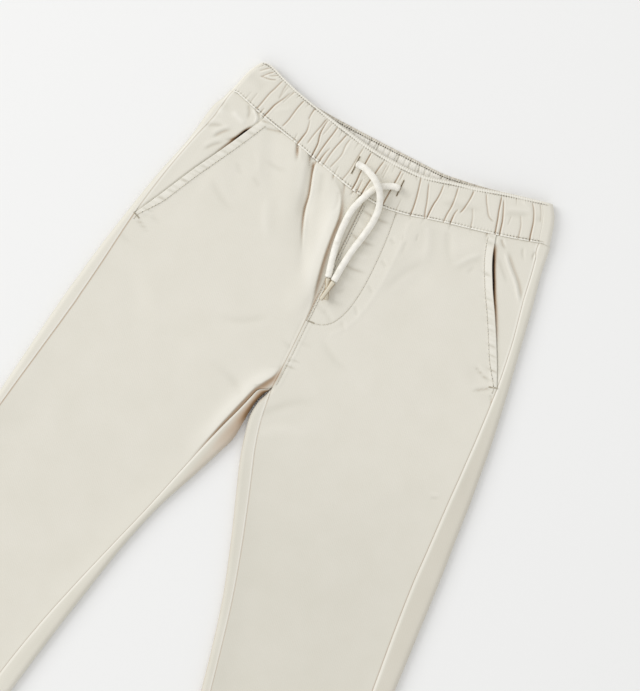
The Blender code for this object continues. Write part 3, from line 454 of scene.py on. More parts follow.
# Shade of the strip outside each side seam, by height above the fork.
OUTER_SHADE = {"l": ((-590, 0.0), (240, 0.0)),
               "r": ((-590, 0.25), (40, 0.25), (150, 0.1), (240, 0.0))}
EDGE_SHADE = {"l": (0.34, 0.0), "r": (0.0, 0.3)}        # of the rolled outer and inner edge
SEAM_SHADE = {"l": 1.0, "r": 0.55}                      # of the line in each side seam
LEG_SHADE = {"l": 0.03, "r": 0.13}                      # of the whole front below the fork
# Finer creases of the fronts, each along a line from its top: half width, height, the shares
# of its length over which it fades in and out, and on some a lip: the share of a second
# bell beside it, above zero on the viewer's right.
CREASES = (
    (((-47.5, 188), (-43.7, 176), (-39.7, 163), (-37.2, 150), (-31.5, 134), (-22, 113)),
     1.05, -1.6, 0.04, 0.6, 0.5),
    (((-54, 187), (-50, 174), (-46, 160), (-43, 146)), 3.5, 0.5, 0.1, 0.7),
    (((-65.8, 196), (-61.8, 188), (-60.1, 181)), 1.1, -1.0, 0.05, 0.7, 0.4),
    (((-38, 186), (-33, 172), (-30, 156)), 3.0, -0.4, 0.2, 0.6),
    (((-104, 162), (-98.5, 155.5), (-93.5, 154)), 1.8, -0.3, 0.4, 0.4),
    (((-84.5, 173), (-70.5, 171), (-61.7, 173.4)), 2.0, -0.35, 0.4, 0.4),
    (((-88, 157), (-76, 150)), 2.0, -0.3, 0.4, 0.4),
    (((-95, 178), (-88, 170), (-84, 158)), 2.6, 0.3, 0.4, 0.4),
    (((-156, 83.5), (-142, 76.6)), 1.6, -0.45, 0.1, 0.8),
    (((-148.5, 91.5), (-136, 87)), 1.6, -0.35, 0.2, 0.7),
    (((-165, 67), (-149, 62)), 1.8, -0.35, 0.3, 0.7),
    (((44.6, 169), (46.4, 161)), 1.1, -0.35, 0.4, 0.4),
    (((55, 174), (56.7, 166)), 1.1, -0.35, 0.4, 0.4),
    (((111, 183), (102, 174.6), (90.8, 160)), 2.0, 0.45, 0.3, 0.4, 0.5),
    (((108.5, 170.5), (105, 161)), 1.8, -0.35, 0.4, 0.4),
    (((72, 160), (57, 136), (49.6, 113.5)), 3.0, -0.22, 0.3, 0.4, 0.4),
    (((49, 167), (50.5, 150)), 1.8, -0.3, 0.4, 0.4),
    (((4.2, 35), (16, 36.2)), 1.2, -0.55, 0.1, 0.8, 0.5),
    (((4.2, 29), (17, 30.6)), 1.2, -0.5, 0.1, 0.8, 0.5),
    (((4.2, 51), (21, 52)), 1.6, -0.4, 0.1, 0.8),
    (((2.5, 44), (-9, 47)), 1.6, -0.35, 0.1, 0.8),
    (((2.5, 26), (-10, 22)), 1.6, -0.4, 0.1, 0.8),
    (((15, 101), (22, 106.5)), 1.8, -0.3, 0.4, 0.4),
    (((5, 85), (18, 81)), 1.8, -0.35, 0.2, 0.5),
    (((4, 171), (20, 169.5), (33, 171)), 1.7, -0.45, 0.2, 0.3, 0.5),
    (((4, 160), (18, 158), (31, 160)), 2.0, 0.42, 0.2, 0.4, 0.4),
    (((4, 150), (16, 147.5), (30, 149)), 1.8, -0.45, 0.2, 0.4, 0.4),
    (((5, 138), (18, 136), (32, 138.5)), 2.2, 0.38, 0.2, 0.4, 0.4),
    (((5, 127), (17, 124), (33, 126)), 2.0, -0.42, 0.2, 0.4, 0.4),
    (((5, 114), (19, 111), (31, 112)), 2.4, 0.34, 0.2, 0.4, 0.4),
    (((8, 97), (18, 93), (29, 95)), 2.2, -0.36, 0.2, 0.4, 0.4),
    (((12, 84), (20, 79), (24, 74)), 2.0, -0.3, 0.2, 0.4, 0.4),
    (((36, 160), (42, 157)), 1.4, -0.4, 0.3, 0.3, 0.5),
    (((37, 141), (44, 137)), 1.4, -0.4, 0.3, 0.3, 0.5),
    (((36.5, 118), (43, 113)), 1.5, -0.38, 0.3, 0.3, 0.5),
    (((34, 98), (40, 91)), 1.5, -0.36, 0.3, 0.3, 0.5),
    (((29, 82), (37, 74)), 1.5, -0.34, 0.3, 0.3, 0.5),
    (((-18, 176), (-15, 166), (-16, 156)), 1.6, -0.4, 0.1, 0.6, 0.5),
    (((60, 182), (66, 168), (70, 150)), 2.6, 0.3, 0.1, 0.6, 0.5),
    (((76, 186), (83, 172), (94, 158)), 2.8, -0.3, 0.1, 0.6, 0.5),
    (((-118, 140), (-100, 128), (-84, 122)), 3.0, -0.28, 0.3, 0.5, 0.5),
    (((-70, 150), (-62, 128), (-48, 108)), 3.2, 0.3, 0.3, 0.5, 0.5),
    (((20, 62), (40, 50), (60, 46)), 3.0, -0.26, 0.3, 0.5, 0.5),
    (((-24, 60), (-44, 46), (-66, 40)), 3.2, -0.26, 0.3, 0.5, 0.5),
    (((2, -20), (13, -6), (30, 8), (52, 16)), 3.5, -0.35, 0.2, 0.7),
    (((6, -34), (24, -20), (48, -12)), 4.0, 0.3, 0.3, 0.6),
    (((-12, -12), (-30, 0), (-56, 6)), 3.5, -0.35, 0.2, 0.7),
    (((143, 97), (153, 92.5), (162, 90)), 1.2, -0.5, 0.3, 0.2, 0.6),
    (((150, 77), (157, 81.5), (164, 86)), 1.3, -0.55, 0.4, 0.1, 0.6),
    (((166, 81), (168.5, 77), (171, 72)), 1.0, -0.5, 0.1, 0.5),
    (((158, -16), (165, -14)), 1.3, -0.4, 0.3, 0.2, 0.6),
    (((-96, 196), (-84, 199), (-77, 203)), 1.4, -0.5, 0.2, 0.4, 0.5),
)
# Cloth that stands over a line: the line from its top, the raised side (1 is the viewer's
# right), height, reach of the raised cloth, width of its fall, the two fades, how brown the
# painted shade at its foot is and how far that reaches.
LEDGES = (
    (((-46.5, 188), (-42.7, 176), (-38.7, 163), (-36, 150), (-30, 134), (-20, 113)),
     1, 0.6, 5.0, 0.6, 0.05, 0.7, 0.2, 0.6),
    (((-31, 184), (-24, 181), (-17, 175), (-12.6, 166), (-10, 156), (-8.8, 141), (-6.2, 119), (-2.2, 98),
      (0.8, 86), (2.0, 73), (2.6, 60)), -1, 1.8, 8.5, 1.0, 0.35, 0.45, 0.95, 2.8),
    (((1.4, 32), (-0.4, 19), (-5.2, 10), (-10, 2), (-14, -10), (-22, -36), (-34, -76)),
     -1, 1.6, 8.0, 1.0, 0.25, 0.5, 1.3, 4.6),
)
# Short pulls under the waistband seam: place in hundredths of the band's width, length, lean
# to the right, half width and depth.
PULLS = (
    (1.0, 8, 2, 1.2, 0.5), (8.2, 11, 4.5, 1.0, 1.1), (11.4, 12, -3, 1.0, 1.1), (17.7, 6, 0, 0.9, 0.4),
    (23.5, 14, 5, 1.0, 1.2), (28.1, 15, 6, 1.0, 0.9), (30.2, 13, 2, 1.0, 1.1), (36.4, 6, 2.2, 0.9, 0.8),
    (40.3, 12, 5, 1.2, 0.6), (43.4, 6, -1, 0.9, 0.8), (45.8, 11, -2, 0.9, 1.1), (51.0, 7, -1, 0.9, 0.5),
    (57.0, 8, 1.4, 0.9, 0.5), (61.0, 6, 1, 0.8, 0.3), (64.8, 7, -1, 0.9, 0.4), (72.1, 7, 1, 0.9, 0.6),
    (78.0, 5, 1, 0.9, 0.4), (82.3, 7, 2, 0.9, 0.6), (94.2, 9, 5, 1.0, 0.9), (97.5, 5, -3, 1.0, 0.5),
)
SOFT_FOLDS = {"seed": 12, "count": 70, "length": (14.0, 46.0), "width": (5.0, 15.0), "height": 0.26}
MOUTH_STITCH = {"l": 6.0, "r": 6.2}     # from the pocket's edge to its topstitching
MOUTH_DOUBLE = 0.45                     # the doubled edge stands this much higher
STEP_RUN = 1.2                          # run over which a doubled edge steps up
MOUTH_OPEN = {"height": 0.9, "reach": 4.0}      # how the edge lifts where the mouth gapes
STITCH_GROOVE = {"depth": 0.3, "width": 0.8}    # how a topstitch row presses into the cloth
HEM_DOUBLE = 0.28
FACING_EDGE = {"height": 0.22, "width": 1.8}    # the fly's extra cloth shows through as a ridge
# The strip of the wearer's left front that is turned under, below the fly.
FLY_STRIP = {"from": 10, "to": 72, "width": 6.2, "height": 0.25, "seam": 2.4, "sunk": 0.22}
LIP = {"off": 2.2, "width": 1.3}        # of a crease's lip, in the crease's own half widths
PANEL_SHADE = {"relief": 0.35, "crease": 0.5, "pucker": 0.9, "seam": 0.5, "lit": 0.7}
CREASE_CORE = (-0.4, 0.5)               # creases deeper than this get a core of painted shade, half as wide
PANEL_WIDTH = 160.0                     # over which a front's columns are shared out
# How open each pocket mouth stands, by height.
MOUTH_GAPE = {
    "l": ((90, 0.0), (160, 0.1), (172, 0.4), (181, 0.85), (187, 1.0), (192, 0.2), (195, 0.0)),
    "r": ((90, 0.0), (120, 0.1), (140, 0.35), (152, 0.6), (165, 1.0), (181, 1.0), (190, 0.45), (195, 0.0)),
}
MOUTH_PUCKERS = (4.7, 7.3, 11.3)       # wavelengths along the mouth of its uneven puckers
J_STITCH = ((31.2, 180), (33.2, 163), (34.2, 146), (34.4, 126), (33.4, 108), (30.6, 92), (25.6, 80),
            (19.5, 73.5), (12.5, 70.6), (6.0, 69.8))
FACING_PRINT = ((44.5, 178), (46.5, 150), (46.2, 124), (43.8, 105), (39.6, 87.5), (34.5, 77), (27.5, 68.5))


def glide(at, xs, ys):
    """A smooth curve (monotone cubic) through the points (xs, ys) that never overshoots them."""
    order = np.argsort(xs)
    xs, ys = xs[order], ys[order]
    step = np.diff(xs)
    slope = np.diff(ys) / step
    product = slope[:-1] * slope[1:]
    total = slope[:-1] + slope[1:]
    inner = np.where(product > 0, 2 * product / np.where(total == 0, 1, total), 0.0)
    tangent = np.concatenate(([slope[0]], inner, [slope[-1]]))
    at = np.clip(at, xs[0], xs[-1])
    i = np.clip(np.searchsorted(xs, at, side="right") - 1, 0, len(xs) - 2)
    t = (at - xs[i]) / step[i]
    return ((1 + 2 * t) * (1 - t) ** 2 * ys[i] + t * (1 - t) ** 2 * step[i] * tangent[i]
            + t * t * (3 - 2 * t) * ys[i + 1] + t * t * (t - 1) * step[i] * tangent[i + 1])


def read(table, at, value=1):
    """A smooth curve through a table's rows: the first column is the place, value another one."""
    columns = np.array(table, dtype=float).T
    return glide(at, columns[0], columns[value])


def between(table, at):
    """A value from a table of places and values, along straight lines between its rows."""
    return np.interp(at, *np.array(table, dtype=float).T)


def outline(name, y):
    """One of the outline's curves at the heights y."""
    return read(SECTIONS, y, SECTION_COLUMNS.index(name))


def mouth(side, y):
    """The front's outer edge: the side seam, or above the bartack the pocket mouth."""
    return np.where(y < MOUTH_FOOT, outline(side + "_side", y), read(MOUTHS[side], y))


def bell(distance, width):
    """1 on a line and soft to both sides of it: exp(-(distance / width) ** 2)."""
    return np.exp(-(distance / width) ** 2)


def smoothstep(t):
    """A soft step from 0 to 1 while t goes from 0 to 1: t^2 (3 - 2 t)."""
    t = np.clip(t, 0.0, 1.0)
    return t * t * (3 - 2 * t)


def sign(side):
    """Which way a side lies from the centre."""
    return -1.0 if side == "l" else 1.0


def folds(x, y):
    """The large folds: each is a bell across its line and soft at its ends."""
    total = np.zeros(np.broadcast(x, y).shape)
    for x0, y0, x1, y1, width, height in FOLDS:
        length = math.hypot(x1 - x0, y1 - y0)
        ux, uy = (x1 - x0) / length, (y1 - y0) / length
        along = (x - x0) * ux + (y - y0) * uy
        off = (x - x0) * uy - (y - y0) * ux
        past = np.maximum(np.maximum(-along, along - length), 0.0)
        total = total + height * np.exp(-(off / width) ** 2 - (past / (2 * width)) ** 2)
    return total


def from_line(points, x, y):
    """Distance to a smooth line through points, and the share of its length there.

    The distance is above zero on the line's left, which is the viewer's right going down."""
    line = smooth_route(np.array(points, dtype=float), 2.5)
    start, step = line[:-1], np.diff(line, axis=0)
    run = np.arange(len(step)) / len(step)
    best = np.full(x.shape, np.inf)
    share, side = np.zeros(x.shape), np.ones(x.shape)
    for (sx, sy), (dx, dy), begin in zip(start, step, run):
        t = np.clip(((x - sx) * dx + (y - sy) * dy) / (dx * dx + dy * dy), 0.0, 1.0)
        distance = np.hypot(x - sx - dx * t, y - sy - dy * t)
        closer = distance < best
        best = np.where(closer, distance, best)
        share = np.where(closer, begin + t / len(step), share)
        side = np.where(closer, np.where(dx * (y - sy) - dy * (x - sx) > 0, 1.0, -1.0), side)
    return best * side, share


def near_line(points, x, y, reach):
    """Where a line is near, the signed distance from it and the share along it."""
    low, high = np.min(points, axis=0) - reach, np.max(points, axis=0) + reach
    near = (x > low[0]) & (x < high[0]) & (y > low[1]) & (y < high[1])
    return (near, *from_line(points, x[near], y[near]))


def fade_ends(share, first, last):
    """Fades a line in over the first share of its length and out over the last one."""
    return smoothstep((share + 0.02) / first) * smoothstep((1.02 - share) / last)


def creases(table, x, y):
    """Sum of bells across each crease's line, fading in and out along it.

    A lip is a second, wider bell beside the first, of the other sign, on the side of its sign."""
    x, y = np.broadcast_arrays(x, y)
    total = np.zeros(x.shape)
    for points, width, height, first, last, *lip in table:
        near, distance, share = near_line(points, x, y, 5 * width)
        shape = bell(distance, width)
        for part in lip:
            beside = distance - math.copysign(LIP["off"], part) * width
            shape = shape - abs(part) * bell(beside / width, LIP["width"])
        total[near] += height * fade_ends(share, first, last) * shape
    return total


def ledges(x, y):
    """Cloth that stands over a line: its height beside the line, and how brown the painted shade at the
    line's foot is.
    """
    x, y = np.broadcast_arrays(x, y)
    total, hollow_shade = np.zeros(x.shape), np.zeros(x.shape)
    for points, side, height, reach, fall, first, last, brown_shade, wide in LEDGES:
        near, distance, share = near_line(points, x, y, 3 * reach)
        fade = fade_ends(share, first, last)
        distance = distance * side
        foot = distance + fall
        total[near] += height * fade * bell(distance, np.where(distance > 0, reach, fall))
        hollow_shade[near] += brown_shade * fade * bell(foot, np.where(foot > 0, fall, wide))
    return total, hollow_shade


def pull_lines():
    """The pulls as creases: they start on the waistband seam and run down the front."""
    left, right = BAND_ENDS["bottom"]
    rows = []
    for share, length, lean, width, depth in PULLS:
        x = left + share / 100 * (right - left)
        y = float(read(FRONT_SEAM, np.array(x)))
        line = ((x, y + 1), (x + lean / 2, y - length / 2), (x + lean, y - length))
        rows.append((line, width, -depth, 0.02, 0.9))
    return tuple(rows)


def soft_folds(x, y):
    """Unevenness of washed cloth: long soft bells at seeded places, mostly along the leg."""
    rng = np.random.default_rng(SOFT_FOLDS["seed"])
    total = np.zeros(np.broadcast(x, y).shape)
    for _ in range(SOFT_FOLDS["count"]):
        cx, cy = rng.uniform(-200, 200), rng.uniform(-560, 190)
        turn = rng.normal(math.pi / 2, 0.7)
        length = rng.uniform(*SOFT_FOLDS["length"])
        width = rng.uniform(*SOFT_FOLDS["width"])
        height = rng.normal(0.0, SOFT_FOLDS["height"])
        along = (x - cx) * math.cos(turn) + (y - cy) * math.sin(turn)
        off = (x - cx) * math.sin(turn) - (y - cy) * math.cos(turn)
        total = total + height * np.exp(-(along / length) ** 2 - (off / width) ** 2)
    return total


def top_height(side, x, y):
    """Height of the laid garment's top: low in the middle of a panel, higher at its edges."""
    base = read(HEIGHTS, y)
    from_out = sign(side) * (outline(side + "_out", y) - x)
    from_edge = sign(side) * (x - outline(side + "_edge", y))
    near = bell(from_out, EDGE_FADE)
    legs = smoothstep((FORK_TOP - y) / INSEAM_FADE)
    near = np.maximum(near, legs * bell(from_edge, INSEAM_FADE))
    quiet = smoothstep((from_out - ROLL) / QUIET_RUN)
    return base + (EDGE_HEIGHT - base) * near + (folds(x, y) + soft_folds(x, y)) * quiet


def roll_angle(distance, radius):
    """Angle up a rolled edge, from its middle, at a distance in from the outline."""
    return np.arccos(np.clip(1 - distance / radius, 0.0, 1.0))


def skin(side, x, y):
    """Height of the laid garment's top, rolled edges included."""
    from_out = sign(side) * (outline(side + "_out", y) - x)
    from_edge = sign(side) * (x - outline(side + "_edge", y))
    at_edge = (y < FORK_TOP) & (from_edge < ROLL)
    distance = np.where(at_edge, from_edge, from_out)
    return top_height(side, x, y) * (1 + np.sin(roll_angle(distance, ROLL))) / 2


def row_y(x, row, top):
    """Height above the fork of a grid row: level near the fork, along the seam at the waist."""
    share = np.clip((row - SHIFT_START_Y) / (WAIST_Y - SHIFT_START_Y), 0.0, None)
    return row + (top - WAIST_Y - SEAM_GAP / 2) * share


def settle(rows, place, seam):
    """Find x and y of a grid whose rows bend with x while its columns bend with y."""
    x = place(rows)
    for _ in range(SETTLE_ROUNDS):
        y = row_y(x, rows, read(seam, x))
        x = place(y)
    return x, y


def panel_rows(lowest=HEM_Y):
    """Rows from the hem to the waist, closer where they are seen and beside both edges."""
    ends = [start for start, step in ROW_STEPS[1:]] + [WAIST_Y]
    parts = [np.arange(start, end, step) for (start, step), end in zip(ROW_STEPS, ends)]
    rows = np.concatenate((*parts, HEM_Y + np.array(EDGE_STEPS), WAIST_Y - np.array(EDGE_STEPS)))
    rows = np.unique(np.round(rows, 3))
    return rows[rows >= lowest][:, None]


def edge_steps(inner, width):
    """Shares across a panel: the inner ones, with extra ones beside its two edges."""
    steps = np.concatenate((inner, np.array(EDGE_STEPS) / width, 1 - np.array(EDGE_STEPS) / width))
    return np.unique(np.round(steps, 6))[None, :]


def turned(distance):
    """How far a turned edge sinks at a distance from it: a quarter of an ellipse."""
    inside = np.clip(1 - distance / TURNED_EDGE["radius"], 0.0, 1.0)
    return TURNED_EDGE["depth"] * (1 - np.sqrt(1 - inside ** 2))


def grid(*parts):
    """Points from their x, y and z, each given whole or for a row or column of the grid."""
    return np.stack(np.broadcast_arrays(*parts), axis=-1)


def grid_normals(points, outwards):
    """Normals of a grid of points, on the side that outwards (1 or -1) gives."""
    return outwards * unit(np.cross(np.gradient(points, axis=1), np.gradient(points, axis=0)))


def shell(name, outer, sink, outwards, chart, thickness=CLOTH, shade=None, inside=None):
    """Closed cloth: the outer grid sunk along its normals, an inner one below it, and a rim.

    The inner face follows half of the outer's relief, or its own, given as depth and painted shade."""
    normals = grid_normals(outer, outwards)
    # Unless given, the inner face carries an even, light painted shade.
    depth, inner_shade = (0.5 * sink, 0.4 + 0 * sink) if inside is None else inside
    inner = outer - normals * (thickness + depth)[..., None]
    outer = outer - normals * sink[..., None]
    rows, cols = outer.shape[:2]
    count = rows * cols
    index = np.arange(count).reshape(rows, cols)
    quads = grid(index[:-1, :-1], index[:-1, 1:], index[1:, 1:], index[1:, :-1]).reshape(-1, 4)
    back = quads[:, ::-1] + count
    rim = np.concatenate((index[0, :-1], index[:-1, -1], index[-1, :0:-1], index[:0:-1, 0]))
    after = np.roll(rim, -1)
    band = np.stack((after, rim, rim + count, after + count), axis=-1)
    faces = np.vstack((quads, back, band))
    if outwards < 0:
        faces = faces[:, ::-1]
    flat = np.concatenate((chart.reshape(-1, 2), chart.reshape(-1, 2) + 0.3))
    # Unless given, painted shade follows the relief: browner where the cloth sinks, paler where it rises.
    if shade is None:
        shade = np.clip(0.6 * sink, -0.3, 1.0)
    return add_piece(name, np.vstack((outer.reshape(-1, 3), inner.reshape(-1, 3))), faces.tolist(),
                     flat[faces.ravel()], twill_finish,
                     np.concatenate((shade.ravel(), inner_shade.ravel())))


def mouth_distance(side, x, y):
    """Distance in from the pocket mouth's edge, square to it, and the run along it."""
    slope = (mouth(side, y + 1.0) - mouth(side, y - 1.0)) / 2
    steep = np.sqrt(1 + slope ** 2)
    return sign(side) * (mouth(side, y) - x) / steep, y * steep


def uneven(run, seed):
    """Uneven waves along a seam, -1 to 1: three wavelengths that never fall together."""
    waves = [np.sin(2 * math.pi * run / length + seed * (i + 1)) for i, length in enumerate(MOUTH_PUCKERS)]
    return sum(waves) / 3


def gape(side, y):
    """How open the pocket mouth stands at a height."""
    return between(MOUTH_GAPE[side], y)


def mouth_puckers(side, off, run):
    """Uneven waves along the mouth, highest between its edge and its topstitching."""
    row = MOUTH_STITCH[side]
    return 0.5 * uneven(run, 1.0 + sign(side)) * bell(off - row / 2, 0.55 * row)


def stitch_groove(distance):
    """How deep a topstitch row presses in, at a distance from it."""
    return STITCH_GROOVE["depth"] * bell(distance, STITCH_GROOVE["width"])


def front_relief(side, x, y):
    """What is sunk below the front's smooth top: creases, pulls, stitch lines and edges."""
    sink = -creases(CREASES, x, y) - creases(pull_lines(), x, y) - ledges(x, y)[0]
    off, run = mouth_distance(side, x, y)
    at_mouth = smoothstep((y - MOUTH_FOOT + 2) / 4)
    row = MOUTH_STITCH[side]
    doubled = smoothstep((row + STEP_RUN - off) / STEP_RUN)
    lifted = MOUTH_OPEN["height"] * gape(side, y) * bell(np.maximum(off, 0), MOUTH_OPEN["reach"])
    sink = sink + at_mouth * (stitch_groove(off - row) - MOUTH_DOUBLE * doubled
                              - mouth_puckers(side, off, run) - lifted)
    hem = y - HEM_Y - HEM_DEPTH
    sink = sink - HEM_DOUBLE * smoothstep(-hem) + stitch_groove(hem)
    below_fly = smoothstep((FLY_STRIP["to"] - y) / 3) * smoothstep((y - FLY_STRIP["from"]) / 3)
    from_centre = np.clip(np.abs(x - outline(side + "_seam", y)), 0, 99)
    if side == "r":
        sink = sink + stitch_groove(from_line(J_STITCH, x, y)[0])
        sink = sink - FACING_EDGE["height"] * bell(from_line(FACING_PRINT, x, y)[0], FACING_EDGE["width"])
        strip = smoothstep((FLY_STRIP["width"] - from_centre) / STEP_RUN)
        sink = sink - FLY_STRIP["height"] * below_fly * strip
    return sink + below_fly * FLY_STRIP["sunk"] * bell(from_centre - FLY_STRIP["seam"], 0.7)


def front_panel(side, name):
    """From the centre front or the inseam to the side seam or the pocket mouth."""
    rows = panel_rows()
    fine = np.arange(0, FRONT_FINE, FRONT_STEP["fine"]) / PANEL_WIDTH
    wide = np.arange(FRONT_FINE, PANEL_WIDTH, FRONT_STEP["wide"]) / PANEL_WIDTH
    steps = edge_steps(np.concatenate((fine, wide)), PANEL_WIDTH)
    half = sign(side) * SEAM_GAP / 2

    def place(y):
        inner = outline(side + "_seam", y) + half
        return inner + (mouth(side, y) - half - inner) * steps

    x, y = settle(rows, place, FRONT_SEAM)
    outer = grid(x, y, skin(side, x, y))
    width = np.abs(x[:, -1:] - x[:, :1])
    from_centre, from_side = steps * width, (1 - steps) * width
    sink = front_relief(side, x, y) + turned(from_centre) + turned(from_side) + turned(WAIST_Y - rows)
    # Painted shade: browner in sunk relief and in the cores of the deeper creases, at the ledges' feet, in
    # the seams and over the lower leg; the puckers' raised tops are painted as highlights.
    deepest, core = CREASE_CORE
    cores = tuple((c[0], c[1] * core, *c[2:5]) for c in CREASES + pull_lines() if c[2] < deepest)
    puckers = mouth_puckers(side, *mouth_distance(side, x, y)) * smoothstep((y - MOUTH_FOOT) / 4)
    shade = (PANEL_SHADE["relief"] * sink - PANEL_SHADE["crease"] * creases(cores, x, y)
             - PANEL_SHADE["pucker"] * puckers)
    shade = np.clip(shade, -0.35, 1.0) + np.clip(ledges(x, y)[1], 0, 1)
    shade = shade + SEAM_SHADE[side] * (bell(from_side, 0.7) * (y < MOUTH_FOOT))
    shade = shade + PANEL_SHADE["seam"] * bell(from_centre, 0.5)
    shade = shade + LEG_SHADE[side] * smoothstep((60 - y) / 200)
    return shell(name, outer, sink, sign(side), grid(x, y), shade=shade)


def roll_top(depth, radius):
    """Arc length up a rolled edge, from its middle to a depth in from the outline."""
    over = math.pi * radius / 2 + depth - radius
    return np.where(depth < radius, radius * roll_angle(depth, radius), over)


def roll_inward(arc, radius):
    """Angle up a rolled edge at an arc length from its middle, and the distance in from the outline."""
    angle = np.clip(arc / radius, -math.pi / 2, math.pi / 2)
    return angle, radius * (1 - np.cos(angle)) + np.maximum(np.abs(arc) - math.pi * radius / 2, 0.0)


def outer_roll(side, y):
    """The back panel's outer edge, from the side seam down to the floor."""
    steps = np.linspace(0, 1, ROLL_COLUMNS)[None, :]
    start = outline(side + "_side", y) + sign(side) * SEAM_GAP / 2
    top = roll_top(sign(side) * (outline(side + "_out", y) - start), ROLL)
    arc = top + (-QUARTER - top) * steps
    return (*roll_points(side, y, arc, outline(side + "_out", y), sign(side)), top - arc)


def inner_roll(side, y):
    """The back panel's inner edge on a leg, from the floor up to the inseam."""
    steps = np.linspace(0, 1, ROLL_COLUMNS)[None, :]
    end = outline(side + "_seam", y) - sign(side) * SEAM_GAP / 2
    top = roll_top(sign(side) * (end - outline(side + "_edge", y)), ROLL)
    arc = -QUARTER + (top + QUARTER) * steps
    x, z = roll_points(side, y, arc, outline(side + "_edge", y), -sign(side))
    return x, z * (1 - read(FORK, y) / EDGE_HEIGHT), top - arc


def roll_points(side, y, arc, edge, facing):
    """Points on a rolled edge at arc lengths from its middle: above zero on top."""
    angle, inward = roll_inward(arc, ROLL)
    x = edge - facing * inward
    return x, top_height(side, x, y) * (1 + np.sin(angle)) / 2


def rise(side, y):
    """The back panel's inner end in the hips: it climbs from the floor towards the fork."""
    left = 1 - np.linspace(0, 1, ROLL_COLUMNS)[None, :]
    height, run = read(RISES, y, 1), read(RISES, y, 2)
    x = outline(side + "_seam", y) + sign(side) * (SEAM_GAP / 2 + run * left)
    return x, height * (1 - left) ** 2, run * left


def back_panel(side, name):
    """From the side seam, round the outer edge, along the floor and up to the inseam."""
    rows = panel_rows()
    floor_steps = np.linspace(0, 1, FLOOR_COLUMNS)[None, :]

    def section(y_out, y_in):
        ax, az, a_off = outer_roll(side, y_out)
        ends = zip(inner_roll(side, y_in), rise(side, y_in))
        bx, bz, b_off = (np.where(rows < FORK_TOP, leg, hip) for leg, hip in ends)
        start = ax[:, -1:] - sign(side) * FLOOR_MARGIN
        end = bx[:, :1] + sign(side) * FLOOR_MARGIN
        fx = start + (end - start) * floor_steps
        return (np.hstack((ax, fx, bx)), np.hstack((az, 0 * fx, bz)), np.hstack((a_off, 0 * fx + 99, b_off)))

    y = np.repeat(rows, 2 * ROLL_COLUMNS + FLOOR_COLUMNS, axis=1)
    for _ in range(SETTLE_ROUNDS):
        x, z, off = section(y[:, :ROLL_COLUMNS], y[:, -ROLL_COLUMNS:])
        on_top = z > EDGE_HEIGHT / 2
        top = np.where(on_top, read(FRONT_SEAM, x), read(BACK_SEAM, x))
        top = np.where(rows < SHIFT_START_Y, WAIST_Y, top)
        y = row_y(x, rows, top)
    outer = grid(x, y, z)
    sink = turned(off) + turned(WAIST_Y - rows) + 0 * x
    steps = np.hypot(np.diff(x, axis=1, prepend=x[:, :1]), np.diff(z, axis=1, prepend=z[:, :1]))
    run = np.cumsum(steps, axis=1)
    number = np.arange(x.shape[1])
    outer_edge, inner_edge = number < ROLL_COLUMNS, number >= x.shape[1] - ROLL_COLUMNS
    # Painted light and shade: a highlight along each seam's turned edge, and shade over the strip outside
    # the side seam, on some rolled edges and on the legs' inner edges.
    rolled = smoothstep(2 * (1 - z / EDGE_HEIGHT)) * smoothstep(4 * z / EDGE_HEIGHT - 0.4)
    shade = (np.clip(PANEL_SHADE["relief"] * sink, -0.3, 1) - PANEL_SHADE["lit"] * bell(off - 0.9, 0.5)
             + between(OUTER_SHADE[side], y) * smoothstep((off - 1) / 3) * outer_edge
             + np.where(outer_edge, *EDGE_SHADE[side]) * rolled
             + between(INNER_SHADE[side], y) * (inner_edge * smoothstep((off + 2) / 11)))
    return shell(name, outer, sink, sign(side), grid(run - run[:, -1:] / 2, y), shade=shade)


def blend(finish, share, below, above):
    """Paints one colour over another, as thickly as share says."""
    mix = node(finish, "ShaderNodeMix", {"data_type": "RGBA"}, Factor=share)
    put(finish, below, mix.inputs[MIX_A])
    put(finish, above, mix.inputs[MIX_B])
    return mix.outputs[MIX_RESULT]


twill_finish = new_finish("garment-washed cotton twill")
# Matt and soft: diagonal lines, threads of uneven thickness, faint cloudy patches from the
# wash.  Each piece's own shade attribute paints light and shade into the colour: painted shade
# makes hollows browner and deep gaps dark, painted highlights make lit edges pale.
uv = cloth_map(twill_finish)
diagonal = node(twill_finish, "ShaderNodeTexWave", DIAGONAL_LINES, Vector=uv,
                Scale=WAVE_RUN / (TWILL_SPACING * MM), Distortion=1.2, Detail=2.0,
                Detail_Scale=2.0).outputs["Fac"]
weave = reckon(twill_finish, "MULTIPLY_ADD", diagonal, 0.16, noise(twill_finish, uv, 900.0, 4.0, 0.6))
tone = reckon(twill_finish, "MULTIPLY_ADD", noise(twill_finish, uv, 34.0, 4.0, 0.55), 0.9, weave)
spread = node(twill_finish, "ShaderNodeMapRange", Value=tone, From_Min=0.53, From_Max=1.53).outputs["Result"]
cloth = {name: linear(colour) for name, colour in CLOTH_COLOUR.items()}
tint = ramp(twill_finish, spread, (0.0, cloth["dark"]), (1.0, cloth["light"]))
painted = node(twill_finish, "ShaderNodeAttribute", {"attribute_name": "shade"}).outputs["Fac"]
brown_shade = ramp(twill_finish, painted, (0.15, cloth["dip_shade"]), (0.45, cloth["hollow_shade"]))
for operation, term, colour in (("MULTIPLY", 0.8, brown_shade), ("SUBTRACT", 1.0, cloth["deep"]),
                                ("MULTIPLY", -1.0, cloth["painted_highlight"])):
    share = reckon(twill_finish, operation, painted, term, clamp=True)
    tint = blend(twill_finish, share, tint, colour)
complete(twill_finish, tint, weave, 0.3, BUMP_DEPTH, 0.92, sheen=0.12)

for side, hand in (("l", "right"), ("r", "left")):
    front = front_panel(side, f"front_{hand}_twill")
    back = back_panel(side, f"back_{hand}_twill")
    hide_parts("front_" + hand)
    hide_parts("back_" + hand)

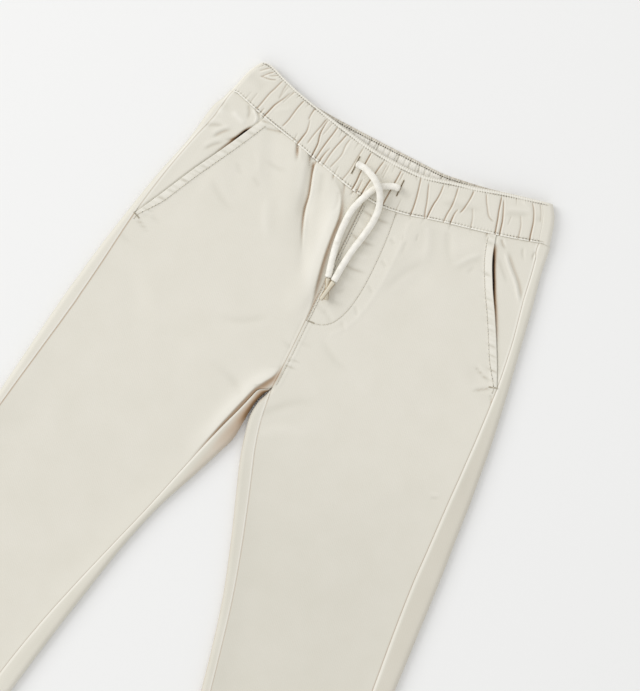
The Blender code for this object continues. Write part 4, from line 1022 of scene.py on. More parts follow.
# ================================================================ waistband
# Two halves of the same twill, doubled over 34 mm elastic, gathered and topstitched along
# both edges.  The front half has two worked buttonholes for the cord, and its free edge dips
# below the back's, so that the inside of the back half shows.
BAND_CLOTH = 1.9        # two layers of cloth on elastic
BAND_HEIGHT = 7.8
BAND_ROLL = 4.4
BAND_BULGE = {"left": 2.0, "right": 2.4}
FRONT_TOP = ((-121.5, 243.6), (-116, 244.8), (-100, 240.0), (-90, 236.6), (-64, 229.9), (-45, 226.4),
             (-34, 224.3), (-12, 220.5), (2, 218.9), (16, 218.2), (27, 217.9), (39, 218.7),
             (48, 220.6), (66, 225.3), (80, 228.4), (107, 235.6), (136, 242.0), (143.5, 243.6))
BACK_TOP = ((-121.5, 243.6), (-116, 244.8), (-100, 240.0), (-90, 236.7), (-78, 232.9), (-62, 230.4),
            (-35, 228.9), (0, 227.8), (22, 227.3), (48, 226.8), (71, 229.3), (86, 231.6),
            (107, 235.8), (136, 242.0), (143.5, 243.6))
BAND_SIDE_SEAMS = (2.2, 9.8)        # from the band's left and right ends, on top
# Gathers of the front half, each along a line from its top: places in hundredths of the
# band's width and shares of its height, then depth at the top and at the foot.
FRONT_GATHERS = (
    (((8.75, 0.97), (9.05, 0.70), (8.85, 0.49), (8.7, 0.0)), 0.6, 0.7),
    (((10.4, 0.95), (10.8, 0.83), (11.4, 0.70), (11.7, 0.58)), 0.5, 0.2),
    (((11.2, 0.94), (11.7, 0.72), (11.9, 0.56)), 0.4, 0.2),
    (((13.0, 0.90), (12.9, 0.70), (12.5, 0.56), (12.0, 0.41), (11.8, 0.29), (11.5, 0.0)), 0.3, 1.3),
    (((13.5, 0.95), (13.5, 0.74), (13.3, 0.56)), 0.6, 0.3),
    (((17.3, 0.96), (17.5, 0.70), (17.6, 0.39), (17.4, 0.22), (17.1, 0.08)), 0.8, 0.6),
    (((21.3, 0.97), (21.6, 0.81), (22.1, 0.64)), 0.8, 0.5),
    (((22.2, 0.70), (23.1, 0.54), (23.6, 0.39), (23.5, 0.22), (23.4, 0.0)), 0.3, 1.3),
    (((21.8, 0.22), (22.0, 0.0)), 0.2, 0.5),
    (((26.0, 0.95), (26.1, 0.70), (25.9, 0.54), (25.7, 0.35), (25.6, 0.15)), 0.7, 0.5),
    (((26.5, 0.96), (26.8, 0.74), (27.2, 0.54), (27.8, 0.41), (28.2, 0.29), (28.5, 0.0)), 0.7, 1.3),
    (((28.1, 0.93), (28.2, 0.74), (27.9, 0.56)), 0.4, 0.3),
    (((30.1, 0.96), (30.2, 0.74), (30.0, 0.50), (29.8, 0.25), (29.8, 0.0)), 0.8, 0.9),
    (((33.7, 0.95), (33.3, 0.70), (32.9, 0.52), (32.6, 0.30), (32.5, 0.0)), 0.8, 0.6),
    (((31.8, 0.45), (31.3, 0.29), (31.1, 0.14), (31.0, 0.0)), 0.3, 1.1),
    (((31.9, 0.92), (32.2, 0.74)), 0.4, 0.1),
    (((6.2, 0.34), (6.2, 0.0)), 0.2, 0.4),
    (((4.7, 0.26), (4.6, 0.04)), 0.1, 0.3),
    (((10.2, 0.18), (10.1, 0.0)), 0.3, 0.6),
    (((35.3, 0.91), (35.1, 0.70), (35.5, 0.51), (35.3, 0.37), (34.8, 0.20), (34.4, 0.05)), 0.5, 0.5),
    (((36.4, 0.24), (36.4, 0.0)), 0.2, 0.5),
    (((40.0, 0.92), (39.9, 0.70), (39.7, 0.29), (39.0, 0.02)), 0.5, 0.5),
    (((42.7, 0.93), (42.7, 0.70), (42.7, 0.41), (42.9, 0.20), (42.8, 0.0)), 0.9, 1.4),
    (((44.1, 0.34), (44.2, 0.18), (44.3, 0.0)), 0.3, 1.0),
    (((47.4, 0.92), (46.9, 0.74), (46.6, 0.58), (46.2, 0.38), (45.9, 0.18), (45.75, 0.0)), 0.7, 1.3),
    (((49.2, 0.86), (49.1, 0.55)), 0.4, 0.3),
    (((48.5, 0.86), (48.4, 0.60)), 0.4, 0.3),
    (((53.3, 0.92), (53.1, 0.74), (52.8, 0.50), (52.6, 0.25), (52.5, 0.03)), 0.8, 1.2),
    (((54.1, 0.86), (54.0, 0.68)), 0.5, 0.3),
    (((59.6, 0.96), (59.9, 0.74), (60.5, 0.40), (60.75, 0.20), (60.8, 0.0)), 0.7, 1.0),
    (((62.3, 0.88), (62.7, 0.70), (63.3, 0.51), (63.8, 0.35), (64.2, 0.18), (64.8, 0.0)), 0.6, 0.8),
    (((66.7, 0.92), (66.4, 0.70), (66.0, 0.50), (65.6, 0.35), (65.3, 0.0)), 0.6, 1.2),
    (((58.1, 0.92), (58.8, 0.83)), 0.4, 0.2),
    (((71.0, 0.92), (70.8, 0.70), (70.6, 0.40), (70.2, 0.22), (70.0, 0.0)), 0.7, 0.8),
    (((75.8, 0.92), (75.2, 0.74), (74.6, 0.58), (74.0, 0.41), (73.4, 0.30)), 0.8, 0.7),
    (((72.7, 0.40), (72.2, 0.30), (72.0, 0.18), (71.9, 0.0)), 0.4, 1.3),
    (((76.3, 0.52), (76.9, 0.37), (77.4, 0.22), (77.6, 0.0)), 0.2, 0.6),
    (((79.4, 0.92), (79.8, 0.72), (80.4, 0.58), (81.3, 0.41), (82.3, 0.33), (83.4, 0.29)), 0.6, 0.5),
    (((84.1, 0.93), (83.8, 0.72), (83.8, 0.54), (84.1, 0.37), (84.6, 0.0)), 0.8, 1.1),
    (((84.6, 0.87), (84.9, 0.64), (85.3, 0.45), (85.6, 0.29), (85.8, 0.0)), 0.6, 1.3),
    (((87.5, 0.50), (87.3, 0.28)), 0.3, 0.2),
    (((90.0, 0.58), (90.5, 0.43), (90.9, 0.29), (91.0, 0.0)), 0.3, 0.6),
    (((93.2, 0.96), (93.6, 0.81), (93.8, 0.62), (94.0, 0.41), (94.1, 0.0)), 0.5, 1.2),
    (((95.8, 0.93), (95.9, 0.50)), 0.4, 0.2),
    (((5.3, 0.93), (4.9, 0.87), (4.1, 0.68)), 0.6, 0.4),
    (((3.6, 0.94), (3.2, 0.88), (2.4, 0.74)), 0.6, 0.3),
    (((7.6, 0.86), (6.2, 0.76), (4.8, 0.70), (3.6, 0.66)), 0.7, 0.4),
    (((6.6, 0.94), (6.0, 0.86), (5.2, 0.80)), 0.5, 0.3),
    (((1.6, 0.93), (1.2, 0.80)), 0.4, 0.2),
    (((38.0, 0.93), (37.9, 0.72)), 0.35, 0.1),
    (((51.0, 0.93), (50.9, 0.75)), 0.3, 0.1),
    (((56.6, 0.35), (56.5, 0.0)), 0.1, 0.45),
    (((68.3, 0.94), (68.2, 0.80)), 0.4, 0.1),
    (((88.6, 0.95), (88.5, 0.78)), 0.4, 0.1),
    (((15.2, 0.96), (15.3, 0.84)), 0.4, 0.1),
    (((19.2, 0.96), (19.1, 0.82)), 0.4, 0.1),
)
# Broad soft folds of the front half, in the same places: half width in mm and height.
BAND_FOLDS = (
    (((8.4, 0.92), (7.0, 0.83), (5.6, 0.77), (4.2, 0.74)), 1.0, 0.7),
    (((4.4, 0.92), (3.6, 0.80), (2.8, 0.70)), 0.9, 0.45),
    (((16.7, 0.64), (14.6, 0.43), (12.6, 0.29)), 2.2, 0.35),
    (((0.6, 0.50), (4.0, 0.54), (8.0, 0.50)), 4.5, -0.35),
    (((67.0, 0.43), (71.0, 0.46), (75.0, 0.44), (80.0, 0.51)), 2.8, -0.4),
    (((67.0, 0.58), (72.0, 0.62), (79.0, 0.64)), 3.0, 0.25),
    (((85.6, 0.52), (89.0, 0.56), (93.0, 0.64)), 2.4, -0.5),
    (((94.2, 0.60), (97.0, 0.55), (99.5, 0.55)), 3.0, -0.4),
    (((85.4, 0.66), (90.0, 0.69), (94.0, 0.70)), 1.8, 0.4),
    (((90.2, 0.90), (92.1, 0.80), (93.4, 0.74)), 1.1, 0.5),
    (((97.5, 0.86), (99.2, 0.70)), 1.4, 0.35),
    (((36.0, 0.85), (36.1, 0.50)), 1.0, 0.3),
    (((55.8, 0.44), (59.4, 0.42)), 2.6, -0.3),
)
# Gathers of the back half: where each crosses the seam and the free edge, in hundredths of
# the band's width, its depth, and how far up the band it starts and ends.
BACK_GATHERS = (
    (2.8, 3.2, 0.8, 0.0, 1.0), (6.4, 6.0, 1.1, 0.0, 1.0), (9.6, 10.4, 0.6, 0.0, 0.6),
    (13.1, 12.9, 1.2, 0.0, 1.0), (16.8, 17.6, 1.0, 0.0, 1.0), (20.9, 20.2, 1.2, 0.0, 1.0),
    (23.6, 24.4, 0.7, 0.3, 1.0), (27.2, 27.5, 1.1, 0.0, 1.0), (30.1, 31.0, 1.0, 0.0, 1.0),
    (34.4, 33.8, 1.2, 0.0, 1.0), (37.0, 37.9, 0.7, 0.0, 0.7), (40.7, 41.0, 1.2, 0.0, 1.0),
    (44.5, 43.6, 1.0, 0.0, 1.0), (47.3, 47.8, 0.8, 0.2, 1.0), (51.2, 50.6, 1.2, 0.0, 1.0),
    (54.0, 54.8, 0.9, 0.0, 1.0), (58.1, 57.7, 1.1, 0.0, 1.0), (61.0, 61.6, 0.7, 0.0, 0.8),
    (64.7, 65.2, 1.2, 0.0, 1.0), (68.4, 67.9, 1.0, 0.0, 1.0), (72.3, 71.4, 1.2, 0.0, 1.0),
    (75.2, 75.9, 0.8, 0.4, 1.0), (79.0, 79.4, 1.1, 0.0, 1.0), (82.8, 82.1, 1.0, 0.0, 1.0),
    (86.9, 87.3, 1.2, 0.0, 1.0), (90.2, 91.0, 0.7, 0.0, 0.6), (94.1, 93.7, 1.1, 0.0, 1.0),
    (97.4, 97.0, 0.8, 0.0, 1.0),
)
GROOVE = {"width": 0.62, "depth": 0.95, "brown_shade": 0.45}      # each gather's narrow fold, and how wide its painted brown shade is
VALLEY = {"width": 2.4, "depth": 0.16}      # the wider dip that it lies in
# The puff on a gather's right, and how pale and how wide the painted highlight on its top is.
GATHER_LIP = {"off": 1.4, "width": 0.7, "height": 0.34, "painted_highlight": 0.3, "pale": 0.6}
GROOVE_FADE = 0.2
SECOND_GATHERS = {"shift": 1.007, "depth": 0.6}         # the back's own again, mirrored and shallower
BAND_SHADE = {"relief": 0.3, "gather": 0.9, "slit": 0.8, "puff": 0.7, "above": 0.22}
PUFFS = (("high", 1.1), ("low", -1.2))      # painted highlight beside each stitch row, and how far above it
INSIDE_SHADE = {"pale": 0.9, "gather": 1.05, "edge": 1.2, "ripple": 0.25}
BAND_COLUMNS = 540
BAND_ROWS = 44
BAND_EDGE_ROWS = (0.0, 0.012, 0.028, 0.05)
LINE_FADE = 0.12            # share of a gather's length over which it fades at its ends
BAND_ACROSS, BAND_UP = 290.0, 36.0      # the band's size, for the gathers and stitch rows
BAND_GRID = 275.0           # width over which the front half's columns are shared out
BAND_CHART = 330.0          # width of the cloth's map, part of the way back to ungathered
BAND_TALL = 34.0            # height of the elastic, between the back half's turned edges
# Height up the band of its two topstitch rows, by hundredths of its width.
LOW_ROW = ((0, 0.045), (20, 0.055), (100, 0.045))
HIGH_ROW = ((0, 0.955), (22, 0.945), (30, 0.918), (75, 0.915), (85, 0.925), (100, 0.945))
BAND_STITCH = {"low": {"pitch": 2.65, "length": 1.9}, "high": {"pitch": 2.1, "length": 1.5}}
ROW_RIPPLE = {"reach": 1.6, "depth": 0.22}
ROW_GROOVE = {"depth": 0.25, "width": 0.7}
BUTTONHOLES = {"right": (-15.6, 201.5, 15.5), "left": (25.4, 200.6, 14.0)}     # middle and length
BUTTONHOLE_SLIT = {"half": 0.22, "depth": 1.7, "step": 0.3}     # half the opening's width
BUTTONHOLE_STEPS = (-3.2, -2.6, -2.1, -1.7, -1.3, -1.0, -0.75, -0.5, -0.25, 0.0)


def fold_and_valley(off):
    """Across a gather: its narrow fold and the wider dip that it lies in."""
    return GROOVE["depth"] * bell(off, GROOVE["width"]) + VALLEY["depth"] * bell(off, VALLEY["width"])


def front_gathers(share, up):
    """Depth of the front's gathers, and their painted shade: brown in each fold, pale on each puff.

    Along each line lies a narrow fold in a wider valley, with a puff beside it."""
    x, y = np.broadcast_arrays(share * BAND_ACROSS, up * BAND_UP)
    size = np.array((BAND_ACROSS / 100, BAND_UP))
    depth, hollow_shade = np.zeros(x.shape), np.zeros(x.shape)
    for points, top, foot in FRONT_GATHERS:
        line = np.array(points) * size
        near, off, along = near_line(line, x, y, 9.0)
        past = smoothstep(along / LINE_FADE + 0.15)
        if line[-1][1] >= 1.5:
            past = past * smoothstep((1 - along) / LINE_FADE + 0.15)
        deep = (top + (foot - top) * along) * past
        beside = off - GATHER_LIP["off"]
        puff = GATHER_LIP["height"] * bell(beside, GATHER_LIP["width"])
        depth[near] += deep * (fold_and_valley(off) - puff)
        hollow_shade[near] += np.clip(1.05 * deep, 0, 1) * bell(off, GROOVE["brown_shade"])
        hollow_shade[near] -= GATHER_LIP["painted_highlight"] * np.clip(deep, 0, 1) * bell(beside, GATHER_LIP["pale"])
    folds_here = [(np.array(points) * size, width, height, 0.3, 0.3) for points, width, height in BAND_FOLDS]
    return depth - creases(folds_here, x, y), hollow_shade


def back_gathers(share, up):
    """Depth of the back's gathers: a narrow fold in a wider valley, soft at both ends."""
    depth = np.zeros(np.broadcast(share, up).shape)
    width = BAND_ENDS["bottom"][1] - BAND_ENDS["bottom"][0]
    for low, high, deep, start, end in BACK_GATHERS:
        centre = (low + (high - low) * up) / 100
        fade = smoothstep((up - start) / GROOVE_FADE + 1) * smoothstep((end - up) / GROOVE_FADE + 1)
        depth = depth + deep * fade * fold_and_valley((share - centre) * width)
    return depth


def band_ends(up):
    """The band's two ends, from its seam to its free edge: they bulge above the middle."""
    bulge = np.sin(math.pi * up ** 1.5)
    left = BAND_ENDS["bottom"][0] + (BAND_ENDS["top"][0] - BAND_ENDS["bottom"][0]) * up
    right = BAND_ENDS["bottom"][1] + (BAND_ENDS["top"][1] - BAND_ENDS["bottom"][1]) * up
    return left - BAND_BULGE["left"] * bulge, right + BAND_BULGE["right"] * bulge


def band_point(x, up, seam, top):
    """Height above the fork of a point of the band, between its seam and its free edge."""
    left, right = band_ends(up)
    share = (x - left) / (right - left)
    x_low = BAND_ENDS["bottom"][0] + share * (BAND_ENDS["bottom"][1] - BAND_ENDS["bottom"][0])
    x_high = BAND_ENDS["top"][0] + share * (BAND_ENDS["top"][1] - BAND_ENDS["top"][0])
    low = read(seam, x_low) + SEAM_GAP / 2
    return low + (read(top, x_high) - low) * up


def band_rows():
    edge = np.array(BAND_EDGE_ROWS)
    return np.unique(np.round(np.concatenate((np.linspace(0, 1, BAND_ROWS), edge, 1 - edge)), 6))[:, None]


def band_front_skin(x, up):
    """The front half's smooth top: level, and rolled down at both ends."""
    left, right = band_ends(up)
    distance = np.minimum(x - left, right - x)
    return BAND_HEIGHT * (1 + np.sin(roll_angle(distance, BAND_ROLL))) / 2


def slit(x, y):
    """How deep the buttonholes' openings sink: a narrow slot with round ends."""
    half, step = BUTTONHOLE_SLIT["half"], BUTTONHOLE_SLIT["step"]
    total = 0.0
    for middle, height, length in BUTTONHOLES.values():
        past = np.maximum(np.abs(y - height) - length / 2 + half, 0.0)
        inside = smoothstep((half + step / 2 - np.hypot(x - middle, past)) / step)
        total = total + BUTTONHOLE_SLIT["depth"] * inside
    return total


def row_height(row, share):
    """Height up the band of a topstitch row."""
    return between(LOW_ROW if row == "low" else HIGH_ROW, share * 100)


def from_row(row, share, up):
    """Distance above a topstitch row, in mm."""
    return (up - row_height(row, share)) * BAND_UP


def ripple(row, share, start=0.0):
    """A wave along the band that comes once a stitch, -1 to 1."""
    return np.sin(2 * math.pi * share * BAND_ACROSS / BAND_STITCH[row]["pitch"] + start)


def row_relief(share, up):
    """A topstitch row sinks in a line, and ripples the cloth across it once a stitch."""
    total = 0.0
    for row in BAND_STITCH:
        off = from_row(row, share, up)
        total = total + ROW_GROOVE["depth"] * bell(off, ROW_GROOVE["width"])
        total = total + ROW_RIPPLE["depth"] * ripple(row, share) * bell(off, ROW_RIPPLE["reach"])
    return total


def band_relief(x, up, y, share):
    """What is sunk below the front half's smooth top: gathers, stitch rows, edges, buttonholes."""
    edges = 1.3 * turned((1 - up) * BAND_UP / 1.3) + 0.8 * turned(up * BAND_UP)
    return front_gathers(share, up)[0] + row_relief(share, up) + slit(x, y) + edges


def band_front():
    """The gathered front half, on top."""
    up = band_rows()
    left, right = band_ends(up)
    start = left + BAND_SIDE_SEAMS[0] + SEAM_GAP / 2
    end = right - BAND_SIDE_SEAMS[1] - SEAM_GAP / 2
    first = BAND_ENDS["bottom"][0] + BAND_SIDE_SEAMS[0]
    middles = np.array([middle for middle, height, length in BUTTONHOLES.values()])[:, None]
    beside = np.array(BUTTONHOLE_STEPS + tuple(-step for step in BUTTONHOLE_STEPS))
    extra = ((middles - first + beside) / BAND_GRID).ravel()
    steps = edge_steps(np.concatenate((np.linspace(0, 1, BAND_COLUMNS), extra)), BAND_GRID)
    x = start + (end - start) * steps
    y = band_point(x, up, FRONT_SEAM, FRONT_TOP)
    share = (x - left) / (right - left)
    sink = band_relief(x, up, y, share)
    ends = turned(steps * BAND_GRID) + turned((1 - steps) * BAND_GRID)
    # Painted highlights lie beside both stitch rows, as on puffed cloth; above the high one painted shade
    # comes once a stitch, and the buttonhole slits are painted dark as shade.
    puffs = sum(np.exp(-(from_row(row, share, up) - beside) ** 2 / 0.5)
                for row, beside in PUFFS)
    beyond = smoothstep(from_row("high", share, up) - 0.4)
    brown_shade = np.clip(front_gathers(share, up)[1], -0.3, 1)
    shade = (np.clip(sink * BAND_SHADE["relief"], -0.3, 1) + BAND_SHADE["gather"] * brown_shade
             + BAND_SHADE["slit"] * slit(x, y) - BAND_SHADE["puff"] * puffs * (1 - brown_shade)
             + BAND_SHADE["above"] * beyond * (0.6 + ripple("high", share, 1.0)))
    outer = grid(x, y, band_front_skin(x, up))
    return shell("waistband_front_gathered", outer, sink + ends, 1.0, grid(share * BAND_CHART, y),
                 thickness=BAND_CLOTH, shade=shade)


def band_back():
    """The gathered back half: on the floor, and round both ends to the side seams on top."""
    up = band_rows()
    left, right = band_ends(up)
    steps = np.linspace(0, 1, ROLL_COLUMNS)[None, :]

    def end_roll(edge, facing, seam):
        top = roll_top(seam - SEAM_GAP / 2, BAND_ROLL)
        arc = (top + (-math.pi * BAND_ROLL / 2 - top) * steps) * np.ones_like(edge)
        angle, inward = roll_inward(arc, BAND_ROLL)
        return edge - facing * inward, angle, top - arc

    lx, la, l_off = end_roll(left, -1.0, BAND_SIDE_SEAMS[0])
    rx, ra, r_off = end_roll(right, 1.0, BAND_SIDE_SEAMS[1])
    inner = np.linspace(0, 1, BAND_COLUMNS)[None, 1:-1]
    fx = lx[:, -1:] + (rx[:, -1:] - lx[:, -1:]) * inner
    x = np.hstack((lx, fx, rx[:, ::-1]))
    angle = np.hstack((la, np.full_like(fx, -math.pi / 2), ra[:, ::-1]))
    off = np.hstack((l_off, np.full_like(fx, 99.0), r_off[:, ::-1]))
    z = BAND_HEIGHT * (1 + np.sin(angle)) / 2
    top_part = smoothstep((z - 1.0) / (BAND_HEIGHT - 2.0))
    low, high = band_point(x, up, BACK_SEAM, BACK_TOP), band_point(x, up, FRONT_SEAM, FRONT_TOP)
    y = low + (high - low) * top_part
    share = (x - left) / (right - left)
    on_floor = smoothstep((1.5 - z) / 1.5)
    second = back_gathers(SECOND_GATHERS["shift"] - share, up)
    depth = (back_gathers(share, up) + SECOND_GATHERS["depth"] * second) * on_floor
    rows = row_relief(share, up)
    edges = turned((1 - up) * BAND_TALL) + turned(up * BAND_TALL)
    sink = 0.4 * depth + rows * on_floor + turned(off) + edges
    # The inner face shows above the front half: painted pale against the shade that the front half casts,
    # with painted brown shade in its gathers and along its edge.
    within = (0.5 * sink) * (1 - on_floor) + on_floor * (-0.9 * depth - rows)
    edge = INSIDE_SHADE["edge"] + INSIDE_SHADE["ripple"] * ripple("high", share)
    edge = edge * smoothstep((up - 0.93) / 0.03)
    brown_shade = np.maximum(INSIDE_SHADE["gather"] * np.clip(depth, 0, 1), edge)
    within_shade = on_floor * brown_shade - INSIDE_SHADE["pale"]
    return shell("waistband_back_gathered", grid(x, y, z), sink, -1.0, grid(share * BAND_CHART, y),
                 thickness=BAND_CLOTH, shade=np.clip(depth, 0, 1), inside=(within, within_shade))


band = band_front()
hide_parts("waistband_front")
band = band_back()
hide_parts("waistband_back")

# ================================================================ pocket facings and fly
# The same twill.  A facing closes each slanted pocket below its mouth and is sewn into the
# side seam; the mock fly is an extra layer under the wearer's left front, held by the J-stitch.
FACING_UNDERLAP = 14.0      # how far the facing runs under the front panel
FACING_RISE = 1.8           # run over which the facing climbs back up, beyond the mouth
FACING_GAPE = 1.6           # the facing sinks this much further where the mouth stands open
FACING_GRID, FACING_STEP = 45.0, 0.9      # width over which its columns are shared out, and their step
MOUTH_WIDTH = {"l": 1.4, "r": 2.2}      # of the gap beside the mouth, sunk and painted dark as shadow
FACING_SHADE = {"relief": 0.6, "gap": 2.4, "seam": 0.5, "beside": 1.4}
FACING_FROM_Y = 78.0
FACING_CREASES = (
    (((124.8, 191.3), (134.3, 181.3), (144.4, 171.6), (152.4, 161), (156, 157)), 1.3, 1.0, 0.2, 0.3, 0.7),
    (((121, 186), (130, 177), (139, 168)), 1.4, -0.35, 0.3, 0.3),
    (((137, 201), (139, 196), (143, 190)), 1.0, -0.45, 0.2, 0.6, 0.5),
    (((148, 203), (147.5, 198), (150, 193)), 1.0, -0.7, 0.2, 0.6, 0.6),
    (((157, 204), (155, 198), (154, 192)), 1.0, -0.7, 0.2, 0.6, -0.6),
    (((118, 200), (121, 196), (126, 193)), 1.0, -0.8, 0.2, 0.5, 0.5),
    (((-110.5, 206), (-105.4, 201.3), (-104.4, 195.4), (-106.5, 189.5)), 1.1, 1.0, 0.1, 0.3, 0.6),
    (((-104.6, 206), (-101.2, 201.6), (-100.9, 195.4)), 0.9, 0.8, 0.1, 0.3, 0.6),
    (((-116, 208), (-112.5, 202), (-111, 195)), 1.2, -0.6, 0.2, 0.4),
    (((-107, 189.6), (-109.6, 183.8), (-112, 179), (-116, 176), (-121.5, 172.5)), 1.3, -0.9, 0.2, 0.4),
    (((-131, 170.4), (-124.7, 179), (-118, 184)), 1.5, -0.7, 0.3, 0.4, 0.5),
    (((-141, 176), (-133, 181), (-124, 183)), 1.6, -0.5, 0.3, 0.4, 0.5),
    (((-133, 158), (-127, 166), (-119, 172)), 1.4, -0.5, 0.3, 0.4, 0.5),
    (((-126, 197), (-110.6, 191.5)), 2.0, 0.7, 0.3, 0.3),
    (((-150, 205), (-140, 196), (-128, 190)), 2.5, 0.5, 0.3, 0.3, 0.4),
)
FLY_CLEAR = 0.6
FLY_INSET = 0.5
FLY_TOP_CLEAR = 3.0
FLY_ROWS, FLY_ACROSS = 60, 24
FLY_EDGE = ((66, 9.0), (70, 22.0), (80, 32.0), (95, 36.5), (120, 38.5), (150, 38.5), (181, 36.5))


def pocket_facing(side, name):
    """The cloth in the pocket mouth: under the front panel, then up to the side seam."""
    rows = panel_rows(FACING_FROM_Y)
    steps = edge_steps(np.arange(0, FACING_GRID, FACING_STEP) / FACING_GRID, FACING_GRID)

    def place(y):
        inner = mouth(side, y) - sign(side) * FACING_UNDERLAP
        outer = outline(side + "_side", y) - sign(side) * SEAM_GAP / 2
        return inner + (outer - inner) * steps

    x, y = settle(rows, place, FRONT_SEAM)
    beyond = sign(side) * (x - mouth(side, y))
    climb = smoothstep((beyond - 0.2) / FACING_RISE) * smoothstep((y - MOUTH_FOOT) / 10.0)
    open_here = gape(side, y) * bell(np.maximum(beyond - 0.8, 0), MOUTH_WIDTH[side])
    outer = grid(x, y, skin(side, x, y) - CLOTH * (1 - climb) - FACING_GAPE * open_here)
    width = np.abs(outline(side + "_side", y) - mouth(side, y) + sign(side) * FACING_UNDERLAP)
    from_seam = (1 - steps) * width
    sink = turned(from_seam) + turned(WAIST_Y - rows)
    sink = sink - creases(FACING_CREASES, x, y) * smoothstep(beyond / 3.0)
    # Painted shade: the open mouth's gap near-black as shadow, and a dark line in the side seam with a
    # painted highlight beside it.
    side_seam = FACING_SHADE["seam"] * (bell(from_seam, 0.6) - bell(from_seam - FACING_SHADE["beside"], 0.6))
    shade = np.clip(FACING_SHADE["relief"] * sink, -0.35, 1) + FACING_SHADE["gap"] * open_here + side_seam
    return shell(name, outer, sink, sign(side), grid(x, y), shade=shade)


def fly_facing():
    """The mock fly's extra cloth, under the wearer's left front."""
    rows = np.linspace(FLY_EDGE[0][0], FLY_EDGE[-1][0] - FLY_TOP_CLEAR, FLY_ROWS)[:, None]
    steps = np.linspace(0.0, 1.0, FLY_ACROSS)[None, :]
    y = rows + 0.0 * steps
    inner = outline("r_seam", y) + FLY_INSET
    x = inner + (read(FLY_EDGE, y) - inner) * steps
    under = front_relief("r", x, y)
    outer = grid(x, y, skin("r", x, y) - CLOTH - FLY_CLEAR - np.maximum(under, 0))
    return shell("fly_facing", outer, 0 * x, 1.0, grid(x, y))


for side, hand in (("l", "right"), ("r", "left")):
    facing = pocket_facing(side, f"pocket_facing_{hand}_twill")
    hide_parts("pocket_facing_" + hand)
facing = fly_facing()
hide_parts("fly")

# ================================================================ sewing
# Cream polyester topstitching in short, slightly sunk stitches, its colour a little darker as
# painted shade; dense satin bars of the same thread close the pocket mouths (bartacks) and edge
# the two buttonholes, where it is given a browner colour as painted shade.
THREAD = 0.5                # thread thickness, with its twist
STITCH = {"pitch": 3.0, "length": 2.35}
STITCH_RINGS, STITCH_SIDES = 5, 6
STITCH_LIFT = 0.12          # a stitch's middle line and a needle hole's rim lie this far above the cloth
ARCH = {"stitch": 0.22, "bar": 0.3}         # how far a thread bends up in its middle
ROUTE_STEP = 0.4
# cream thread with painted shade: the topstitching a little darker, the buttonhole and bartack bars more
THREAD_COLOUR = {"topstitch": "#d6cfbd", "buttonhole": "#cbbfa6", "bartack": "#c3baa6"}
THREAD_DARK = 0.82          # brightness between the strands
# dark brown painted into each needle hole as its shadow
HOLE_SHADOW_COLOUR = "#4a3a28"
BARTACKS = {"right": ((-161.6, 87.6), (-155.9, 85.0)), "left": ((161.8, 86.2), (168.8, 88.4))}
FLY_BARTACK = ((5.0, 70.1), (11.0, 70.5))
BARTACK_WIDTH = 1.6
BAR_PITCH = 0.62
PURL_WIDTH = 0.6
MOUTH_ROW = (83.0, 204.0)               # from where to where the pocket's topstitching runs
BAND_ROW = (0.012, 0.985)               # the same for the band's rows, in shares of its width
INSIDE_ROW = {"shares": (0.08, 0.92), "up": 0.93}       # the row that shows inside the back half
HOLE = {"radius": {"band": 0.52, "panel": 0.36}, "sides": 8, "depth": 0.3}


def thread_finish(name, colour):
    """Twisted thread: matt, with fine slanting strands and a little sheen."""
    finish = new_finish(name)
    uv = cloth_map(finish)
    twist = node(finish, "ShaderNodeTexWave", DIAGONAL_LINES, Vector=uv, Scale=700.0, Distortion=1.0)
    light = linear(colour)
    dark = (*(THREAD_DARK * part for part in light[:3]), 1.0)
    tint = ramp(finish, noise(finish, uv, 400.0, 3.0), (0.3, dark), (0.7, light))
    complete(finish, tint, twist.outputs["Fac"], 0.3, BUMP_DEPTH / 2, 0.7, sheen=0.1)
    return finish


def stitches(name, starts, ends, finish, arch=ARCH["bar"]):
    """Many short threads at once: each a tapered arch of rings from its start to its end.

    Along a thread its line rises as arch times a half sine, and its radius is an ellipse's."""
    starts, ends = np.asarray(starts, dtype=float), np.asarray(ends, dtype=float)
    share = np.linspace(0, 1, STITCH_RINGS)
    turn = np.arange(STITCH_SIDES) * 2 * math.pi / STITCH_SIDES
    ahead = unit(ends - starts)[:, None, None]
    up = np.array((0.0, 0.0, 1.0)) - ahead * ahead[..., 2:]
    up = unit(up)
    level = np.cross(ahead, up)
    middle = starts[:, None] + (ends - starts)[:, None] * share[None, :, None]
    middle = middle + up[:, :, 0] * (arch * np.sin(math.pi * share) - arch * 0.5)[None, :, None]
    radius = THREAD / 2 * np.sqrt(np.clip(1 - (2 * share - 1) ** 2 * 0.93, 0, 1))
    rings = (middle[:, :, None] + level * (radius[:, None] * np.cos(turn))[None, ..., None]
             + up * (radius[:, None] * np.sin(turn))[None, ..., None])
    count = len(starts)
    index = np.arange(count * STITCH_RINGS * STITCH_SIDES).reshape(count, STITCH_RINGS, STITCH_SIDES)
    quads = ring_quads(index)
    caps = np.vstack((index[:, 0, ::-1], index[:, -1]))
    run = (share * 3.0)[None, :, None] + np.arange(count)[:, None, None] * 3.7
    chart = np.stack(np.broadcast_arrays((turn * THREAD / 2)[None, None, :], run), axis=-1).reshape(-1, 2)
    faces = quads.tolist() + caps.tolist()
    corners = np.concatenate((quads.ravel(), caps.ravel()))
    return add_piece(name, rings.reshape(-1, 3), faces, chart[corners], finish)


